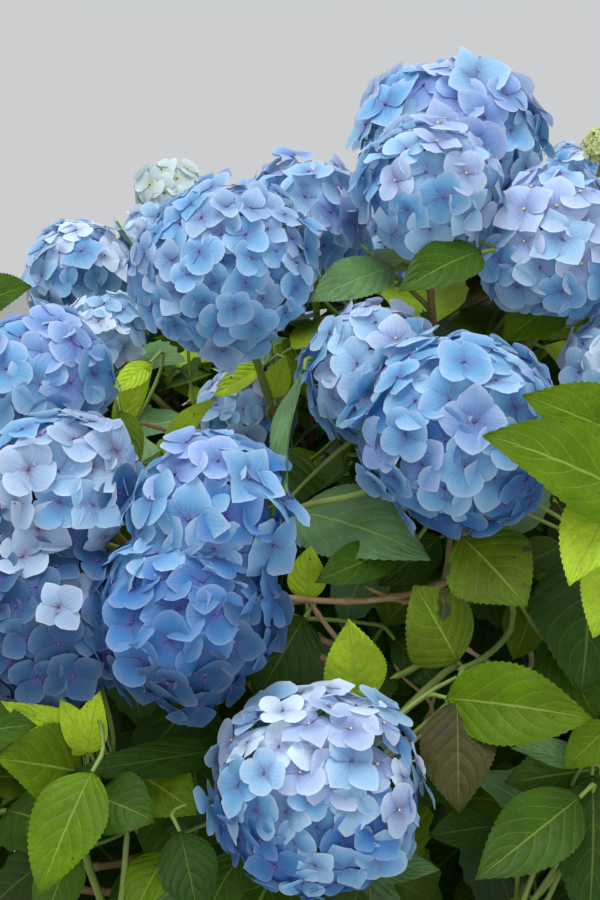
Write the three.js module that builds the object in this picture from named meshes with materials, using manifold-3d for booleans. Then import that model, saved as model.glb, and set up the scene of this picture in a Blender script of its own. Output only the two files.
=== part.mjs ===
// A mophead hydrangea shrub, rooted in the ground. Arching canes rise from one short woody stem,
// and each cane carries a mass of shoots with paired leaves and round blue flower heads.
// Millimetres, +Z up. The origin is the centre of the flat cut at ground level, and the side that
// the photograph shows faces -Y.
import * as THREE from "three";
import { mergeVertices } from "three/addons/utils/BufferGeometryUtils.js";
import Module from "manifold-3d";

const wasm = await Module();
wasm.setup();

const RADIANS = Math.PI / 180;
const GOLDEN_ANGLE = 137.508 * RADIANS;
const GOLDEN_SHARE = 0.618034;
const UP = new THREE.Vector3(0, 0, 1);

// Clear space between two pieces that meet
const SEAM = 0.3;

// The short main stem: a knobbly woody stool with a flare at the ground. Each ring is a radius and
// its share of the height.
const STOOL = { height: 92, rings: [[104, 0], [82, 0.34], [88, 0.68], [55, 0.94]], lump: 5, sides: 14 };

// Three tiers of canes. A cane leaves the stool at rootReach, leaning rootLean degrees, and ends
// below its hub, where its shoots fork, leaning hubLean degrees.
const TIERS = [
  {
    name: "crown", count: 6, firstAzimuth: 12,
    rootReach: 27, rootHeight: 60, rootLean: 8,
    hubReach: 150, hubHeight: 790, hubLean: 24,
  },
  {
    name: "shoulder", count: 8, firstAzimuth: -20,
    rootReach: 50, rootHeight: 50, rootLean: 24,
    hubReach: 310, hubHeight: 590, hubLean: 42,
  },
  {
    name: "skirt", count: 7, firstAzimuth: 0,
    rootReach: 62, rootHeight: 40, rootLean: 50,
    hubReach: 330, hubHeight: 300, hubLean: 62,
  },
];
const CANE = { baseRadius: 8.5, tipRadius: 5.5, sides: 5, segments: 4, slack: 0.38 };
// The stem of a mass goes on from its cane to the hub, and shoots fork from it
const STEM = { length: 110, tipRadius: 4.5, sides: 3, slack: 0.33, firstFork: 0.3, lastFork: 0.98 };
const SHOOT = {
  baseRadius: 4.2, tipRadius: 2.8, sides: 3, segments: 2, slack: 0.34, turnOut: 0.55,
  clearOfMasses: 14, clearOfCanes: 8, firstHeadSeed: 11, firstTipSeed: 211,
};
// How many stretches a limb is cut into where its mass's space is worked out, and how many points
// of a shoot count as still in its own stem
const SITES = { cane: 40, stem: 3, shoot: 6, inStem: 2 };

// Heads and leafy tips stand on a flat-topped dome
const DOME = { centreHeight: 350, reach: 640, rise: 700, power: 2.7 };
// Heads face away from this height on the plant's axis
const FOCUS = new THREE.Vector3(0, 0, 520);

// The flower heads that the photograph shows: across, depth, height and radius
const PHOTO_HEADS = [
  [3, -317, 1140, 77], [-20, -417, 1104, 52], [75, -389, 1060, 62], [136, -390, 972, 52],
  [-61, -434, 970, 54], [-4, -498, 934, 74], [-171, -402, 1042, 74], [-111, -245, 1079, 56],
  [-311, -404, 958, 58], [-278, -520, 899, 56], [-287, -536, 809, 64], [-167, -552, 892, 62],
  [-191, -562, 822, 68], [-103, -600, 708, 74], [-337, 100, 1018, 60], [-262, 150, 1048, 44],
  [-257, 264, 1104, 40], [-299, -59, 969, 42], [-161, -168, 908, 44], [170, 166, 1127, 26],
  [150, -180, 1140, 22],
];
// Round the rest of the plant heads are set by rule, and this sector is left as photographed
const PHOTO_SECTOR = { from: -50, to: 30, steepestTilt: 22 };
const HEAD = {
  candidates: 118, topTilt: 4, bottomTilt: 96, least: 62, most: 80, spacing: 36, seed: 3,
  sparseBelow: 620, sparseShare: 0.36, noneBelow: 360, bump: 0.035, ripples: [9, 8, 10],
  back: 0.72, sunk: 0.35,
};
const LEAFY_TIP = {
  candidates: 150, topTilt: 14, bottomTilt: 130, inset: 0.95, fromHead: 60, apart: 200, lowest: 130,
};
const LEAF = {
  length: 146, width: 100, widest: 0.45, thickness: 5, fold: 8, curl: 18, spread: 72, droop: 0.22,
  internode: 62, topShare: 0.82, least: 0.84, most: 1.1, behindHead: 9, clearOfFork: 50,
  margin: 2, caneMargin: 3, lowest: 14,
};

const BARK = new THREE.MeshStandardMaterial({ color: 0x7a6550, roughness: 0.9, metalness: 0 });
const FOLIAGE = new THREE.MeshStandardMaterial({ color: 0x5d8a35, roughness: 0.6, metalness: 0 });

// A seeded source of numbers from 0 to 1
class Dice {
  constructor(seed) {
    this.state = (seed * 7919 + 104729) % 2147483647;
    this.roll();
    this.roll();
  }
  roll() {
    this.state = (this.state * 48271) % 2147483647;
    return this.state / 2147483647;
  }
  between(low, high) {
    return low + (high - low) * this.roll();
  }
}

// The horizontal direction at an azimuth, which runs from -Y towards +X
function outward(azimuth) {
  return new THREE.Vector3(Math.sin(azimuth), -Math.cos(azimuth), 0);
}

// A direction that leans outward from straight up
function leaning(azimuth, lean) {
  return outward(azimuth).multiplyScalar(Math.sin(lean)).addScaledVector(UP, Math.cos(lean));
}

// Two directions across an axis, at right angles to each other
function across(axis) {
  const side = new THREE.Vector3(0, 1, 0);
  if (Math.abs(axis.y) > 0.9) side.set(1, 0, 0);
  const first = new THREE.Vector3().crossVectors(side, axis).normalize();
  const second = new THREE.Vector3().crossVectors(axis, first);
  return [first, second];
}

// A smooth path between two points with a direction at each end
function arch(start, startDirection, end, endDirection, slack) {
  const reach = start.distanceTo(end) * slack;
  return new THREE.CubicBezierCurve3(
    start,
    start.clone().addScaledVector(startDirection, reach),
    end.clone().addScaledVector(endDirection, -reach),
    end,
  );
}

// A closed geometry as a solid
function solidOf(geometry) {
  const bare = geometry.clone();
  bare.deleteAttribute("normal");
  bare.deleteAttribute("uv");
  const merged = mergeVertices(bare, 1e-3);
  return new wasm.Manifold(
    new wasm.Mesh({
      numProp: 3,
      vertProperties: merged.getAttribute("position").array,
      triVerts: new Uint32Array(merged.index.array),
    }),
  );
}

// Moves each vertex of a geometry to the place that a function gives for it
function reshaped(geometry, place) {
  const position = geometry.getAttribute("position");
  const vertex = new THREE.Vector3();
  for (let i = 0; i < position.count; i++) {
    const moved = place(vertex.fromBufferAttribute(position, i));
    position.setXYZ(i, moved.x, moved.y, moved.z);
  }
  return geometry;
}

// A point on the straight stretches between the rings of a limb
function onLimb(path, segments, t) {
  const ring = Math.min(Math.floor(t * segments), segments - 1);
  return path.getPoint(ring / segments).lerp(path.getPoint((ring + 1) / segments), t * segments - ring);
}

// A tapering limb: a cylinder bent along a path
function limb(path, baseRadius, tipRadius, sides, segments) {
  const rings = [];
  for (let i = 0; i <= segments; i++) {
    const t = i / segments;
    rings.push({ centre: path.getPoint(t), axes: across(path.getTangent(t)) });
  }
  const straight = new THREE.CylinderGeometry(tipRadius, baseRadius, segments, sides, segments);
  return solidOf(
    reshaped(straight, (v) => {
      const { centre, axes } = rings[Math.round(v.y + segments / 2)];
      return centre.clone().addScaledVector(axes[0], v.z).addScaledVector(axes[1], v.x);
    }),
  );
}

// The stool, grown by some clearance for cutting what stands on it
function stool(grow) {
  const rings = STOOL.rings.map(
    ([radius, share]) => new THREE.Vector2(radius + grow, share ? share * STOOL.height + grow : -grow),
  );
  const foot = new THREE.Vector2(0, -grow);
  const top = new THREE.Vector2(0, STOOL.height + grow);
  return solidOf(
    reshaped(new THREE.LatheGeometry([foot, ...rings, top], STOOL.sides), (v) => {
      const radius = Math.hypot(v.x, v.z);
      const azimuth = Math.atan2(v.z, v.x);
      const lump = STOOL.lump * (Math.sin(3 * azimuth) + Math.cos(5 * azimuth));
      const share = radius > STOOL.lump ? 1 + lump / radius : 1;
      return new THREE.Vector3(v.x * share, -v.z * share, v.y);
    }),
  );
}

// A flower head: a knobbly ball whose facets are about a floret across, flatter behind
function flowerHead(head) {
  const ball = new THREE.IcosahedronGeometry(1, 1);
  const [first, second] = across(head.axis);
  const facets = reshaped(ball, (v) => {
    const [a, b, c] = HEAD.ripples;
    const ripple = Math.sin(v.x * a + head.radius) * Math.cos(v.y * b) + Math.sin(v.z * c);
    const radius = head.radius * (1 + HEAD.bump * ripple);
    const forward = v.z < 0 ? v.z * HEAD.back : v.z;
    return head.centre
      .clone()
      .addScaledVector(first, v.x * radius)
      .addScaledVector(second, v.y * radius)
      .addScaledVector(head.axis, forward * radius);
  });
  return solidOf(facets);
}

// A leaf blade's corners: its base in the shoot, its tip, its two sides, its midrib and its keel
function leafCorners(leaf) {
  const side = new THREE.Vector3().crossVectors(leaf.direction, leaf.face);
  const at = (along, aside, proud) =>
    leaf.base
      .clone()
      .addScaledVector(leaf.direction, along * leaf.length)
      .addScaledVector(side, aside * leaf.width * 0.5)
      .addScaledVector(leaf.face, proud);
  return {
    base: at(0, 0, 0),
    tip: at(1, 0, -LEAF.curl * leaf.share),
    right: at(LEAF.widest, 1, LEAF.fold),
    left: at(LEAF.widest, -1, LEAF.fold),
    midrib: at(LEAF.widest, 0, LEAF.thickness / 2),
    keel: at(LEAF.widest, 0, -LEAF.thickness / 2),
  };
}

// An octahedron whose six corners are a leaf's
function leafBlade(leaf) {
  const corners = leafCorners(leaf);
  return solidOf(
    reshaped(new THREE.OctahedronGeometry(1, 0), (v) => {
      if (v.y > 0.5) return corners.tip;
      if (v.y < -0.5) return corners.base;
      if (v.x > 0.5) return corners.right;
      if (v.x < -0.5) return corners.left;
      return v.z > 0 ? corners.midrib : corners.keel;
    }),
  );
}

// A point on the dome, tilted from straight up
function onDome(azimuth, tilt, share) {
  const wide = Math.abs(Math.sin(tilt)) / DOME.reach;
  const tall = Math.abs(Math.cos(tilt)) / DOME.rise;
  const radius = share / (wide ** DOME.power + tall ** DOME.power) ** (1 / DOME.power);
  return leaning(azimuth, tilt).multiplyScalar(radius).addScaledVector(UP, DOME.centreHeight);
}

// Evenly spread candidates on the dome, from the top down
function* domeCandidates(rule, share) {
  const top = Math.cos(rule.topTilt * RADIANS);
  const bottom = Math.cos(rule.bottomTilt * RADIANS);
  for (let k = 0; k < rule.candidates; k++) {
    const tilt = Math.acos(top + ((k + 0.5) / rule.candidates) * (bottom - top));
    const azimuth = (k * GOLDEN_ANGLE) % (2 * Math.PI);
    yield { point: onDome(azimuth, tilt, share), azimuth, tilt };
  }
}

function inPhotoSector(azimuth, tilt) {
  const { from, to, steepestTilt } = PHOTO_SECTOR;
  const turned = ((azimuth / RADIANS + 180) % 360) - 180;
  return turned > from && turned < to && tilt > steepestTilt * RADIANS;
}

function facing(point) {
  return point.clone().sub(FOCUS).normalize();
}

// Every flower head: those of the photograph, then those set by rule
function flowerHeads() {
  const heads = PHOTO_HEADS.map(([x, y, z, radius]) => {
    const centre = new THREE.Vector3(x, y, z);
    return { centre, radius, axis: facing(centre) };
  });
  const dice = new Dice(HEAD.seed);
  for (const { point, azimuth, tilt } of domeCandidates(HEAD, 1)) {
    const radius = dice.between(HEAD.least, HEAD.most);
    const kept = dice.roll();
    if (inPhotoSector(azimuth, tilt) || point.z < HEAD.noneBelow) continue;
    if (point.z < HEAD.sparseBelow && kept > HEAD.sparseShare) continue;
    const free = heads.every((h) => h.centre.distanceTo(point) > h.radius + radius + HEAD.spacing);
    if (free) heads.push({ centre: point, radius, axis: facing(point) });
  }
  return heads;
}

// The tips of shoots with leaves only, between the heads and down the flanks
function leafyTips(heads) {
  const tips = [];
  for (const { point } of domeCandidates(LEAFY_TIP, LEAFY_TIP.inset)) {
    if (point.z < LEAFY_TIP.lowest) continue;
    const offHeads = heads.every((h) => h.centre.distanceTo(point) > h.radius + LEAFY_TIP.fromHead);
    const offTips = tips.every((t) => t.distanceTo(point) > LEAFY_TIP.apart);
    if (offHeads && offTips) tips.push(point);
  }
  return tips;
}

// One mass for each cane: its hub, its cane's path and its stem's path
function masses() {
  const made = [];
  for (const tier of TIERS) {
    for (let i = 0; i < tier.count; i++) {
      const azimuth = (tier.firstAzimuth + (360 * i) / tier.count) * RADIANS;
      const hub = outward(azimuth).multiplyScalar(tier.hubReach).addScaledVector(UP, tier.hubHeight);
      const heading = leaning(azimuth, tier.hubLean * RADIANS);
      const tip = hub.clone().addScaledVector(heading, -STEM.length);
      const root = outward(azimuth).multiplyScalar(tier.rootReach).addScaledVector(UP, tier.rootHeight);
      const rise = leaning(azimuth, tier.rootLean * RADIANS);
      const foot = tip.clone().addScaledVector(heading, SEAM);
      made.push({
        label: `${tier.name}_${i + 1}`,
        hub,
        heading,
        cane: arch(root, rise, tip, heading, CANE.slack),
        stem: arch(foot, heading, hub, heading, STEM.slack),
        shoots: [],
        sites: [],
      });
    }
  }
  return made;
}

// Points along a path, each with the radius round it that belongs to the path's mass
function sitesAlong(path, radius, count) {
  return Array.from({ length: count + 1 }, (_, i) => ({ centre: path.getPoint(i / count), radius }));
}

// How far a point lies outside the nearest of some sites
function clearance(point, sites) {
  let least = Infinity;
  for (const site of sites) least = Math.min(least, site.centre.distanceTo(point) - site.radius);
  return least;
}

// A shoot from its mass's stem to a flower head or a leafy tip
function growShoot(mass, end, head, seed) {
  const dice = new Dice(seed);
  const axis = facing(end);
  const place = (mass.shoots.length * GOLDEN_SHARE) % 1;
  const fork = mass.stem.getPoint(STEM.firstFork + place * (STEM.lastFork - STEM.firstFork));
  const target = head ? head.centre.clone().addScaledVector(axis, -HEAD.sunk * head.radius) : end;
  const straight = target.clone().sub(fork).normalize();
  const start = mass.heading.clone().lerp(straight, SHOOT.turnOut).normalize();
  const path = arch(fork, start, target, axis, SHOOT.slack);
  return { path, head, axis, dice };
}

// The pairs of leaves on a shoot, from its tip back to the fork, each pair turned a quarter
function pairedLeaves(shoot) {
  const { path, head, dice } = shoot;
  const length = path.getLength();
  const first = head ? (HEAD.back - HEAD.sunk) * head.radius + LEAF.behindHead : LEAF.behindHead;
  const twist = dice.between(0, Math.PI);
  const leaves = [];
  for (let pair = 0; first + pair * LEAF.internode < length - LEAF.clearOfFork; pair++) {
    const t = 1 - (first + pair * LEAF.internode) / length;
    const base = onLimb(path, SHOOT.segments, t);
    const along = path.getTangent(t);
    const [one, other] = across(along);
    const turn = twist + (pair * Math.PI) / 2;
    const aside = one.multiplyScalar(Math.cos(turn)).addScaledVector(other, Math.sin(turn));
    for (const sign of [1, -1]) {
      const share = (pair ? 1 : LEAF.topShare) * dice.between(LEAF.least, LEAF.most);
      const direction = along
        .clone()
        .multiplyScalar(Math.cos(LEAF.spread * RADIANS))
        .addScaledVector(aside, sign * Math.sin(LEAF.spread * RADIANS))
        .addScaledVector(UP, -LEAF.droop)
        .normalize();
      const face = along.clone().add(UP);
      face.addScaledVector(direction, -face.dot(direction)).normalize();
      leaves.push({
        base, direction, face, share, length: LEAF.length * share, width: LEAF.width * share,
      });
    }
  }
  return leaves;
}

// Where a leaf is tested: its outline and midrib, apart from its root in the shoot
function leafProbes(leaf) {
  const { base, tip, right, left, midrib } = leafCorners(leaf);
  const between = (a, b) => a.clone().lerp(b, 0.5);
  return [
    tip, right, left, midrib, between(right, tip), between(left, tip), between(midrib, tip),
    between(base, right), between(base, left),
  ];
}

// A leaf keeps to its own mass's space, clear of every cane and of the ground
function leafFits(leaf, mass, others, canes) {
  return leafProbes(leaf).every(
    (probe) =>
      probe.z > LEAF.lowest &&
      clearance(probe, others) > clearance(probe, mass.sites) + 2 * LEAF.margin &&
      clearance(probe, canes) > LEAF.caneMargin,
  );
}

// Shares the heads and tips out to the nearest hubs and grows a shoot to each
function growShrub() {
  const all = masses();
  const heads = flowerHeads();
  const nearest = (point) =>
    all.reduce((a, b) => (b.hub.distanceTo(point) < a.hub.distanceTo(point) ? b : a));
  const canes = all.flatMap((m) => sitesAlong(m.cane, CANE.baseRadius, SITES.cane));
  for (const mass of all) mass.sites.push(...sitesAlong(mass.stem, CANE.tipRadius, SITES.stem));
  heads.forEach((head, i) => {
    const mass = nearest(head.centre);
    const shoot = growShoot(mass, head.centre, head, SHOOT.firstHeadSeed + i);
    mass.shoots.push(shoot);
    mass.sites.push(...sitesAlong(shoot.path, SHOOT.baseRadius, SITES.shoot));
    mass.sites.push({ centre: head.centre, radius: head.radius * (1 + 2 * HEAD.bump) });
  });
  leafyTips(heads).forEach((tip, i) => {
    const mass = nearest(tip);
    const shoot = growShoot(mass, tip, null, SHOOT.firstTipSeed + i);
    const others = all.filter((m) => m !== mass).flatMap((m) => m.sites);
    const sites = sitesAlong(shoot.path, SHOOT.baseRadius, SITES.shoot);
    const free = sites
      .slice(SITES.inStem)
      .every(
        ({ centre }) =>
          clearance(centre, others) > SHOOT.clearOfMasses && clearance(centre, canes) > SHOOT.clearOfCanes,
      );
    if (!free) return;
    mass.shoots.push(shoot);
    mass.sites.push(...sites);
  });
  for (const mass of all) {
    const others = all.filter((m) => m !== mass).flatMap((m) => m.sites);
    for (const shoot of mass.shoots) {
      shoot.leaves = pairedLeaves(shoot).filter((leaf) => leafFits(leaf, mass, others, canes));
    }
  }
  return all;
}

// Joins solids into one body, with sealed hollows filled and loose scraps dropped
function fused(solids) {
  const joined = solids.reduce((a, b) => a.add(b));
  return joined.decompose().reduce((a, b) => (b.volume() > a.volume() ? b : a));
}

function crosses(solid, others) {
  return others.some((other) => !solid.intersect(other).isEmpty());
}

// A mass: its stem, shoots, heads and leaves in one body. A leaf that would cross anything but its
// own shoot is left out.
function foliage(mass) {
  const stem = limb(mass.stem, CANE.tipRadius, STEM.tipRadius, STEM.sides, 1);
  const shoots = mass.shoots.map((shoot) =>
    limb(shoot.path, SHOOT.baseRadius, SHOOT.tipRadius, SHOOT.sides, SHOOT.segments),
  );
  const heads = mass.shoots.filter((shoot) => shoot.head).map((shoot) => flowerHead(shoot.head));
  const blades = [];
  mass.shoots.forEach((shoot, i) => {
    const solid = [stem, ...heads, ...shoots.filter((_, k) => k !== i)];
    for (const leaf of shoot.leaves) {
      const blade = leafBlade(leaf);
      if (!crosses(blade, [...solid, ...blades])) blades.push(blade);
    }
  });
  return fused([stem, ...shoots, ...heads, ...blades]);
}

function meshOf(solid, name, material) {
  const { numProp, vertProperties, triVerts } = solid.getMesh();
  const positions = new Float32Array((vertProperties.length / numProp) * 3);
  for (let i = 0; i < positions.length / 3; i++) {
    positions.set(vertProperties.subarray(i * numProp, i * numProp + 3), i * 3);
  }
  const geometry = new THREE.BufferGeometry();
  geometry.setAttribute("position", new THREE.BufferAttribute(positions, 3));
  geometry.setIndex(new THREE.BufferAttribute(triVerts, 1));
  geometry.computeVertexNormals();
  const mesh = new THREE.Mesh(geometry, material);
  mesh.name = name;
  return mesh;
}

const shrub = new THREE.Group();
shrub.add(meshOf(stool(0), "woody_stem", BARK));
const cutter = stool(SEAM);
for (const mass of growShrub()) {
  const cane = limb(mass.cane, CANE.baseRadius, CANE.tipRadius, CANE.sides, CANE.segments);
  shrub.add(meshOf(fused([cane.subtract(cutter)]), `cane_${mass.label}`, BARK));
  shrub.add(meshOf(foliage(mass), `foliage_${mass.label}`, FOLIAGE));
}

export default shrub;
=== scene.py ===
"""A mophead hydrangea shrub in leaf and full blue flower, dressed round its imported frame.

The frame's canes and foliage masses are grown again here by the same rule, in metres, and carried on
to bark, side twigs, veined leaves and heads of four-petalled florets. +Z is up, the ground is at
z = 0, and the side that the photograph shows faces -Y.
"""

import math
from functools import cached_property, partialmethod

import bmesh
import bpy
import numpy as np
from mathutils import Matrix, Vector, noise


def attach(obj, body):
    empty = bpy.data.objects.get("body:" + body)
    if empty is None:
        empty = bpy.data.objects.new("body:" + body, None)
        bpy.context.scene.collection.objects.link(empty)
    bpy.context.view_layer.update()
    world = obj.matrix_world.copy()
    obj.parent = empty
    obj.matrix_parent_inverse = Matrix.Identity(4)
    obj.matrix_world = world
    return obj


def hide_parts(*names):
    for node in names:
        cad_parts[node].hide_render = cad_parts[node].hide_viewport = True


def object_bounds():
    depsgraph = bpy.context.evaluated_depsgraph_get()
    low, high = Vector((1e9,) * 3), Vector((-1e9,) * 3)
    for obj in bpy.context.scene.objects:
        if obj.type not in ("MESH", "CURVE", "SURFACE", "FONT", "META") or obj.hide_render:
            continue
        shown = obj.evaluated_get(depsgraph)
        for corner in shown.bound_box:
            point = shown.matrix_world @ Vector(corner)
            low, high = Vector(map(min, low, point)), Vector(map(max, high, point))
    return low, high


bl_info = {
    "name": "Mophead hydrangea shrub",
    "version": (1, 0, 0),
    "blender": (4, 5, 0),
    "location": "3D View > Sidebar > Hydrangea",
    "description": "Grows the bark, twigs, leaves and blue flower heads of a garden hydrangea",
    "category": "Object",
}

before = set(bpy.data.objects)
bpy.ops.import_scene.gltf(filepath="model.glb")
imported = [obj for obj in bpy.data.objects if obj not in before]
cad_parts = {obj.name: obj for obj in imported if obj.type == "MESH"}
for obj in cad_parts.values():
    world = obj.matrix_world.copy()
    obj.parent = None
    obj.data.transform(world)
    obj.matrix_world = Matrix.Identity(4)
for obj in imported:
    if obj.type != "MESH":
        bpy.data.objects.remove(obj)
CAD_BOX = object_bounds()

RIGHT, AWAY, UP = np.eye(3)
# From this share of a direction along the Y axis, the direction counts as lying near it
NEAR_AXIS = 0.9
GOLDEN_ANGLE = math.radians(137.508)
GOLDEN_SHARE = 0.618034
MM = 0.001

# The plan of the shrub, as the frame was grown: a crown, a shoulder and a skirt of canes. A tier's canes
# leave the stool at its root and end below its hub: reach and height in metres, lean in degrees.
SEAM = 0.3 * MM
TIERS = (
    {"count": 6, "first": 12, "root": (0.027, 0.060, 8), "hub": (0.150, 0.790, 24)},
    {"count": 8, "first": -20, "root": (0.050, 0.050, 24), "hub": (0.310, 0.590, 42)},
    {"count": 7, "first": 0, "root": (0.062, 0.040, 50), "hub": (0.330, 0.300, 62)},
)
CANE_RADII = (0.0085, 0.0055)
CANE_SLACK = 0.38
STEM_RADII = (CANE_RADII[1] - SEAM, 0.0045)
STEM_LENGTH = 0.110
STEM_SLACK = 0.33
FORKS = (0.3, 0.98)
SHOOT_RADII = (0.0042, 0.0028)
SHOOT_SLACK = 0.34
TURN_OUT = 0.55
FIRST_HEAD_SEED = 11
FIRST_TIP_SEED = 211
DOME = {"centre": 0.350, "reach": 0.640, "rise": 0.700, "power": 2.7}
FOCUS = np.array([0.0, 0.0, 0.520])

# The heads that the photograph shows: across, depth, height and radius in millimetres, and the look
PHOTO_HEADS = (
    (3, -317, 1140, 77, "bright"), (-20, -417, 1104, 52, "light"), (75, -389, 1060, 62, "light"),
    (134, -408, 970, 52, "misty"), (-61, -434, 970, 54, "pale"), (-4, -498, 934, 74, "full"),
    (-171, -402, 1042, 74, "aged"), (-111, -245, 1079, 56, "bright"), (-311, -404, 958, 58, "deep"),
    (-278, -520, 899, 56, "pearl"), (-287, -536, 809, 64, "grey"), (-174, -552, 884, 59, "deep"),
    (-191, -562, 822, 68, "dusk"), (-103, -600, 708, 74, "lilac"), (-337, 100, 1018, 60, "hazy"),
    (-262, 150, 1048, 44, "hazy"), (-257, 264, 1098, 38, "young"), (-299, -59, 969, 42, "misty"),
    (-161, -168, 908, 44, "hazy"), (170, 166, 1127, 26, "hazy"), (150, -180, 1140, 22, "bud"),
)
PHOTO_SECTOR = (-50, 30)
PHOTO_SECTOR_TILT = 22
HEAD_RULE = {"count": 118, "tilts": (4, 96), "least": 0.062, "most": 0.080, "spacing": 0.036, "seed": 3}
SPARSE_BELOW = 0.620
SPARSE_SHARE = 0.36
NO_HEAD_BELOW = 0.360
RULE_LOOKS = ("blue", "deep", "lilac", "blue", "pale", "dusk", "deep")
HEAD_BACK = 0.72
HEAD_SUNK = 0.35
TIP_RULE = {"count": 150, "tilts": (14, 130), "inset": 0.95, "off_head": 0.060, "apart": 0.200}
LOWEST_TIP = 0.130

# Each look of head: the scale of its florets, then its petal colours with their shares, from its
# underside to its top: darker below as painted shade and paler above as painted light
HEAD_LOOKS = {
    "blue": (1.06, ("cornflower", 0.55), ("periwinkle", 0.2), ("sky", 0.25)),
    "bright": (1.12, ("cornflower", 0.3), ("periwinkle", 0.2), ("sky", 0.25), ("lilac", 0.25)),
    "aged": (0.82, ("cornflower", 0.45), ("haze", 0.55)),
    "light": (1.05, ("cornflower", 0.15), ("sky", 0.5), ("lilac", 0.35)),
    "deep": (1.08, ("gentian", 0.25), ("cornflower", 0.5), ("periwinkle", 0.25)),
    "full": (1.08, ("gentian", 0.1), ("cornflower", 0.5), ("periwinkle", 0.25), ("sky", 0.15)),
    # dusk: slate and gentian blues darker than the deep look, as painted shade
    "dusk": (1.04, ("slate", 0.22), ("gentian", 0.65), ("cornflower", 0.13)),
    # The mist in lilac, hazy and misty is painted light: a whitish blue that brightens heads lying in shade
    "lilac": (0.93, ("gentian", 0.1), ("cornflower", 0.35), ("sky", 0.27), ("lilac", 0.22), ("mist", 0.06)),
    "hazy": (1.06, ("cornflower", 0.15), ("sky", 0.5), ("mist", 0.35)),
    "misty": (1.0, ("sky", 0.45), ("mist", 0.55)),
    "pale": (1.0, ("cornflower", 0.3), ("sky", 0.45), ("lilac", 0.25)),
    "pearl": (1.04, ("slate", 0.15), ("cornflower", 0.3), ("sky", 0.15), ("pearl", 0.4)),
    # grey: the slate of an ageing head, darkened there as painted shade
    "grey": (1.0, ("slate", 0.94), ("pearl", 0.06)),
    "young": (1.1, ("mint", 1.0)),
    "bud": (0.36, ("cream", 1.0)),
}


class Dice:
    """A seeded source of numbers from 0 to 1."""

    MODULUS = 2**31 - 1
    MULTIPLIER = 48271
    SEED_STEP = 7919
    FIRST_STATE = 104729

    def __init__(self, seed):
        self.state = (seed * self.SEED_STEP + self.FIRST_STATE) % self.MODULUS
        self.roll()
        self.roll()

    def roll(self):
        self.state = (self.state * self.MULTIPLIER) % self.MODULUS
        return self.state / self.MODULUS

    def between(self, low, high):
        return low + (high - low) * self.roll()

    def within(self, reach):
        return self.between(-reach, reach)

    def each(self, ranges):
        """A number from each of some named ranges, drawn in their order."""
        return {name: self.between(*limits) for name, limits in ranges.items()}


def unit(vectors):
    return vectors / np.linalg.norm(vectors, axis=-1, keepdims=True)


def turned(first, second, angle):
    """The direction at an angle from a first one towards a second that is square to it."""
    return first * math.cos(angle) + second * math.sin(angle)


def outward(azimuth):
    """The horizontal direction at an azimuth, which runs from -Y towards +X."""
    return np.array([math.sin(azimuth), -math.cos(azimuth), 0.0])


def leaning(azimuth, lean):
    return turned(UP, outward(azimuth), lean)


def off_axis(vectors):
    """The Y axis for each vector, or the X axis where the vector lies near the Y axis."""
    near = np.abs(vectors[..., 1:2]) > NEAR_AXIS * np.linalg.norm(vectors, axis=-1, keepdims=True)
    return np.where(near, RIGHT, AWAY)


def across(axis):
    """Two directions at right angles to an axis and to each other."""
    first = unit(np.cross(off_axis(axis), axis))
    return first, np.cross(axis, first)


def square_to(axis, vector):
    """The direction of what is left of a vector at right angles to an axis."""
    return unit(vector - axis * np.dot(vector, axis))


class Arch:
    """A smooth path between two points with a direction at each end."""

    def __init__(self, start, start_direction, end, end_direction, slack):
        reach = np.linalg.norm(end - start) * slack
        self.knots = np.array([start, start + start_direction * reach, end - end_direction * reach, end])

    def at(self, t):
        t = np.asarray(t, float)[..., None]
        a, b, c, d = self.knots
        return (1 - t) ** 3 * a + 3 * (1 - t) ** 2 * t * b + 3 * (1 - t) * t**2 * c + t**3 * d

    def along(self, t):
        t = np.asarray(t, float)[..., None]
        a, b, c, d = self.knots
        return unit((1 - t) ** 2 * (b - a) + 2 * (1 - t) * t * (c - b) + t**2 * (d - c))

    def length(self, points=60):
        steps = np.diff(self.at(np.linspace(0, 1, points)), axis=0)
        return float(np.linalg.norm(steps, axis=1).sum())


def superellipse(wide, tall):
    """How far out a point of the dome's profile is, from its shares of the dome's reach and rise."""
    return (wide**DOME["power"] + tall**DOME["power"]) ** (1 / DOME["power"])


def dome_share(points):
    """How far out points are: under 1 inside the dome, and 1 on it."""
    wide = np.hypot(points[..., 0], points[..., 1]) / DOME["reach"]
    return superellipse(wide, np.abs(points[..., 2] - DOME["centre"]) / DOME["rise"])


def dome_candidates(rule, share):
    """Evenly spread candidates on the dome, or at a share of the way to it, from the top down."""
    top, bottom = (math.cos(math.radians(tilt)) for tilt in rule["tilts"])
    for k in range(rule["count"]):
        tilt = math.acos(top + ((k + 0.5) / rule["count"]) * (bottom - top))
        azimuth = (k * GOLDEN_ANGLE) % (2 * math.pi)
        out = superellipse(abs(math.sin(tilt)) / DOME["reach"], abs(math.cos(tilt)) / DOME["rise"])
        yield leaning(azimuth, tilt) * (share / out) + UP * DOME["centre"], azimuth, tilt


def facing(point):
    return unit(point - FOCUS)


class Head:
    """A flower head's place, size and look."""

    def __init__(self, centre, radius, look):
        self.centre = np.array(centre, float)
        self.radius = radius
        self.look = look
        self.axis = facing(self.centre)


def clear_of(heads, point, gap):
    """Whether a point keeps a gap to every head."""
    return all(np.linalg.norm(h.centre - point) > h.radius + gap for h in heads)


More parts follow.
